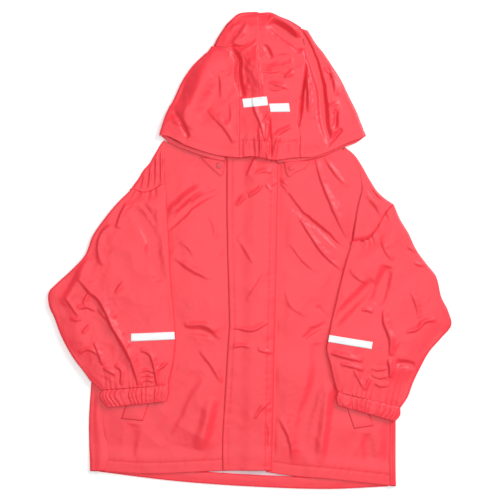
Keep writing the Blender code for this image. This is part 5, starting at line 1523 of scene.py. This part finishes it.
STRIP_INSET = (0.965, 0.8)    # shares of a strip's length and width inside its stitches
TAPE_STITCH = (1.9, 0.4, 2.8)


def strip_stitches(edges, level):
    """The four rows round a reflective strip."""
    (start, end), (low_start, low_end) = edges
    middle = (np.array(start) + low_end) / 2
    corners = [tuple(middle + (np.array(c) - middle) * STRIP_INSET)
               for c in (start, end, low_end, low_start)]

    def on_tape(x, y):
        return level(x, y) + CLOTH / 2 + TAPE + 0.05

    return [((a, b), on_tape) for a, b in zip(corners, corners[1:] + corners[:1])]


stitches("stitches_tapes",
         strip_stitches(STRIP_RIGHT, lambda x, y: sleeve_z(x, y, -1))
         + strip_stitches(STRIP_LEFT, lambda x, y: sleeve_z(x, y, 1))
         + strip_stitches(HOOD_STRIP_RIGHT, pleated_z) + strip_stitches(HOOD_STRIP_LEFT, hood_z),
         material=TAPE_THREAD, size=TAPE_STITCH)

# ---- floor, light and camera -------------------------------------------------------------------

FLOOR_SIDE = 6.0
CAMERA_HEIGHT = 2.092
LENS = 100.0
FLOOR_GLOW = 0.12
WORLD_STRENGTH = 0.3
LIGHTS = (                    # name, place, size, power
    ("overhead", (0.05, 0.05, 2.4), (1.9, 2.2), 33.0),
    ("key", (1.7, 1.3, 1.35), (1.2, 1.2), 46.0),
)


def add_area_light(name, place, size, power):
    light = bpy.data.lights.new(name, "AREA")
    light.shape = "RECTANGLE"
    light.size, light.size_y = size
    light.energy = power
    lamp = bpy.data.objects.new(name, light)
    lamp.location = place
    lamp.rotation_euler = (-Vector(place)).to_track_quat("-Z", "Y").to_euler()
    bpy.context.scene.collection.objects.link(lamp)


half = FLOOR_SIDE / 2
floor_mesh = bpy.data.meshes.new("floor")
floor_mesh.from_pydata([(-half, -half, 0.0), (half, -half, 0.0), (half, half, 0.0), (-half, half, 0.0)], [],
                       [(0, 1, 2, 3)])
floor = bpy.data.objects.new("floor", floor_mesh)
floor_white, _, _, floor_shader = new_material("floor_white", (0.97, 0.97, 0.97), 0.9, 0.0)
floor_shader.inputs["Emission Color"].default_value = (1.0, 1.0, 1.0, 1.0)
floor_shader.inputs["Emission Strength"].default_value = FLOOR_GLOW
floor_mesh.materials.append(floor_white)
bpy.context.scene.collection.objects.link(floor)

for row in LIGHTS:
    add_area_light(*row)

world = bpy.data.worlds.new("studio")
world.use_nodes = True
background = world.node_tree.nodes["Background"]
background.inputs["Color"].default_value = (1.0, 1.0, 1.0, 1.0)
background.inputs["Strength"].default_value = WORLD_STRENGTH
bpy.context.scene.world = world
bpy.context.scene.view_settings.view_transform = "Standard"

camera_data = bpy.data.cameras.new("camera")
camera_data.lens = LENS
camera_data.clip_end = 50.0
camera = bpy.data.objects.new("camera", camera_data)
camera.location = (0.0, 0.0, CAMERA_HEIGHT)
bpy.context.scene.collection.objects.link(camera)
bpy.context.scene.camera = camera
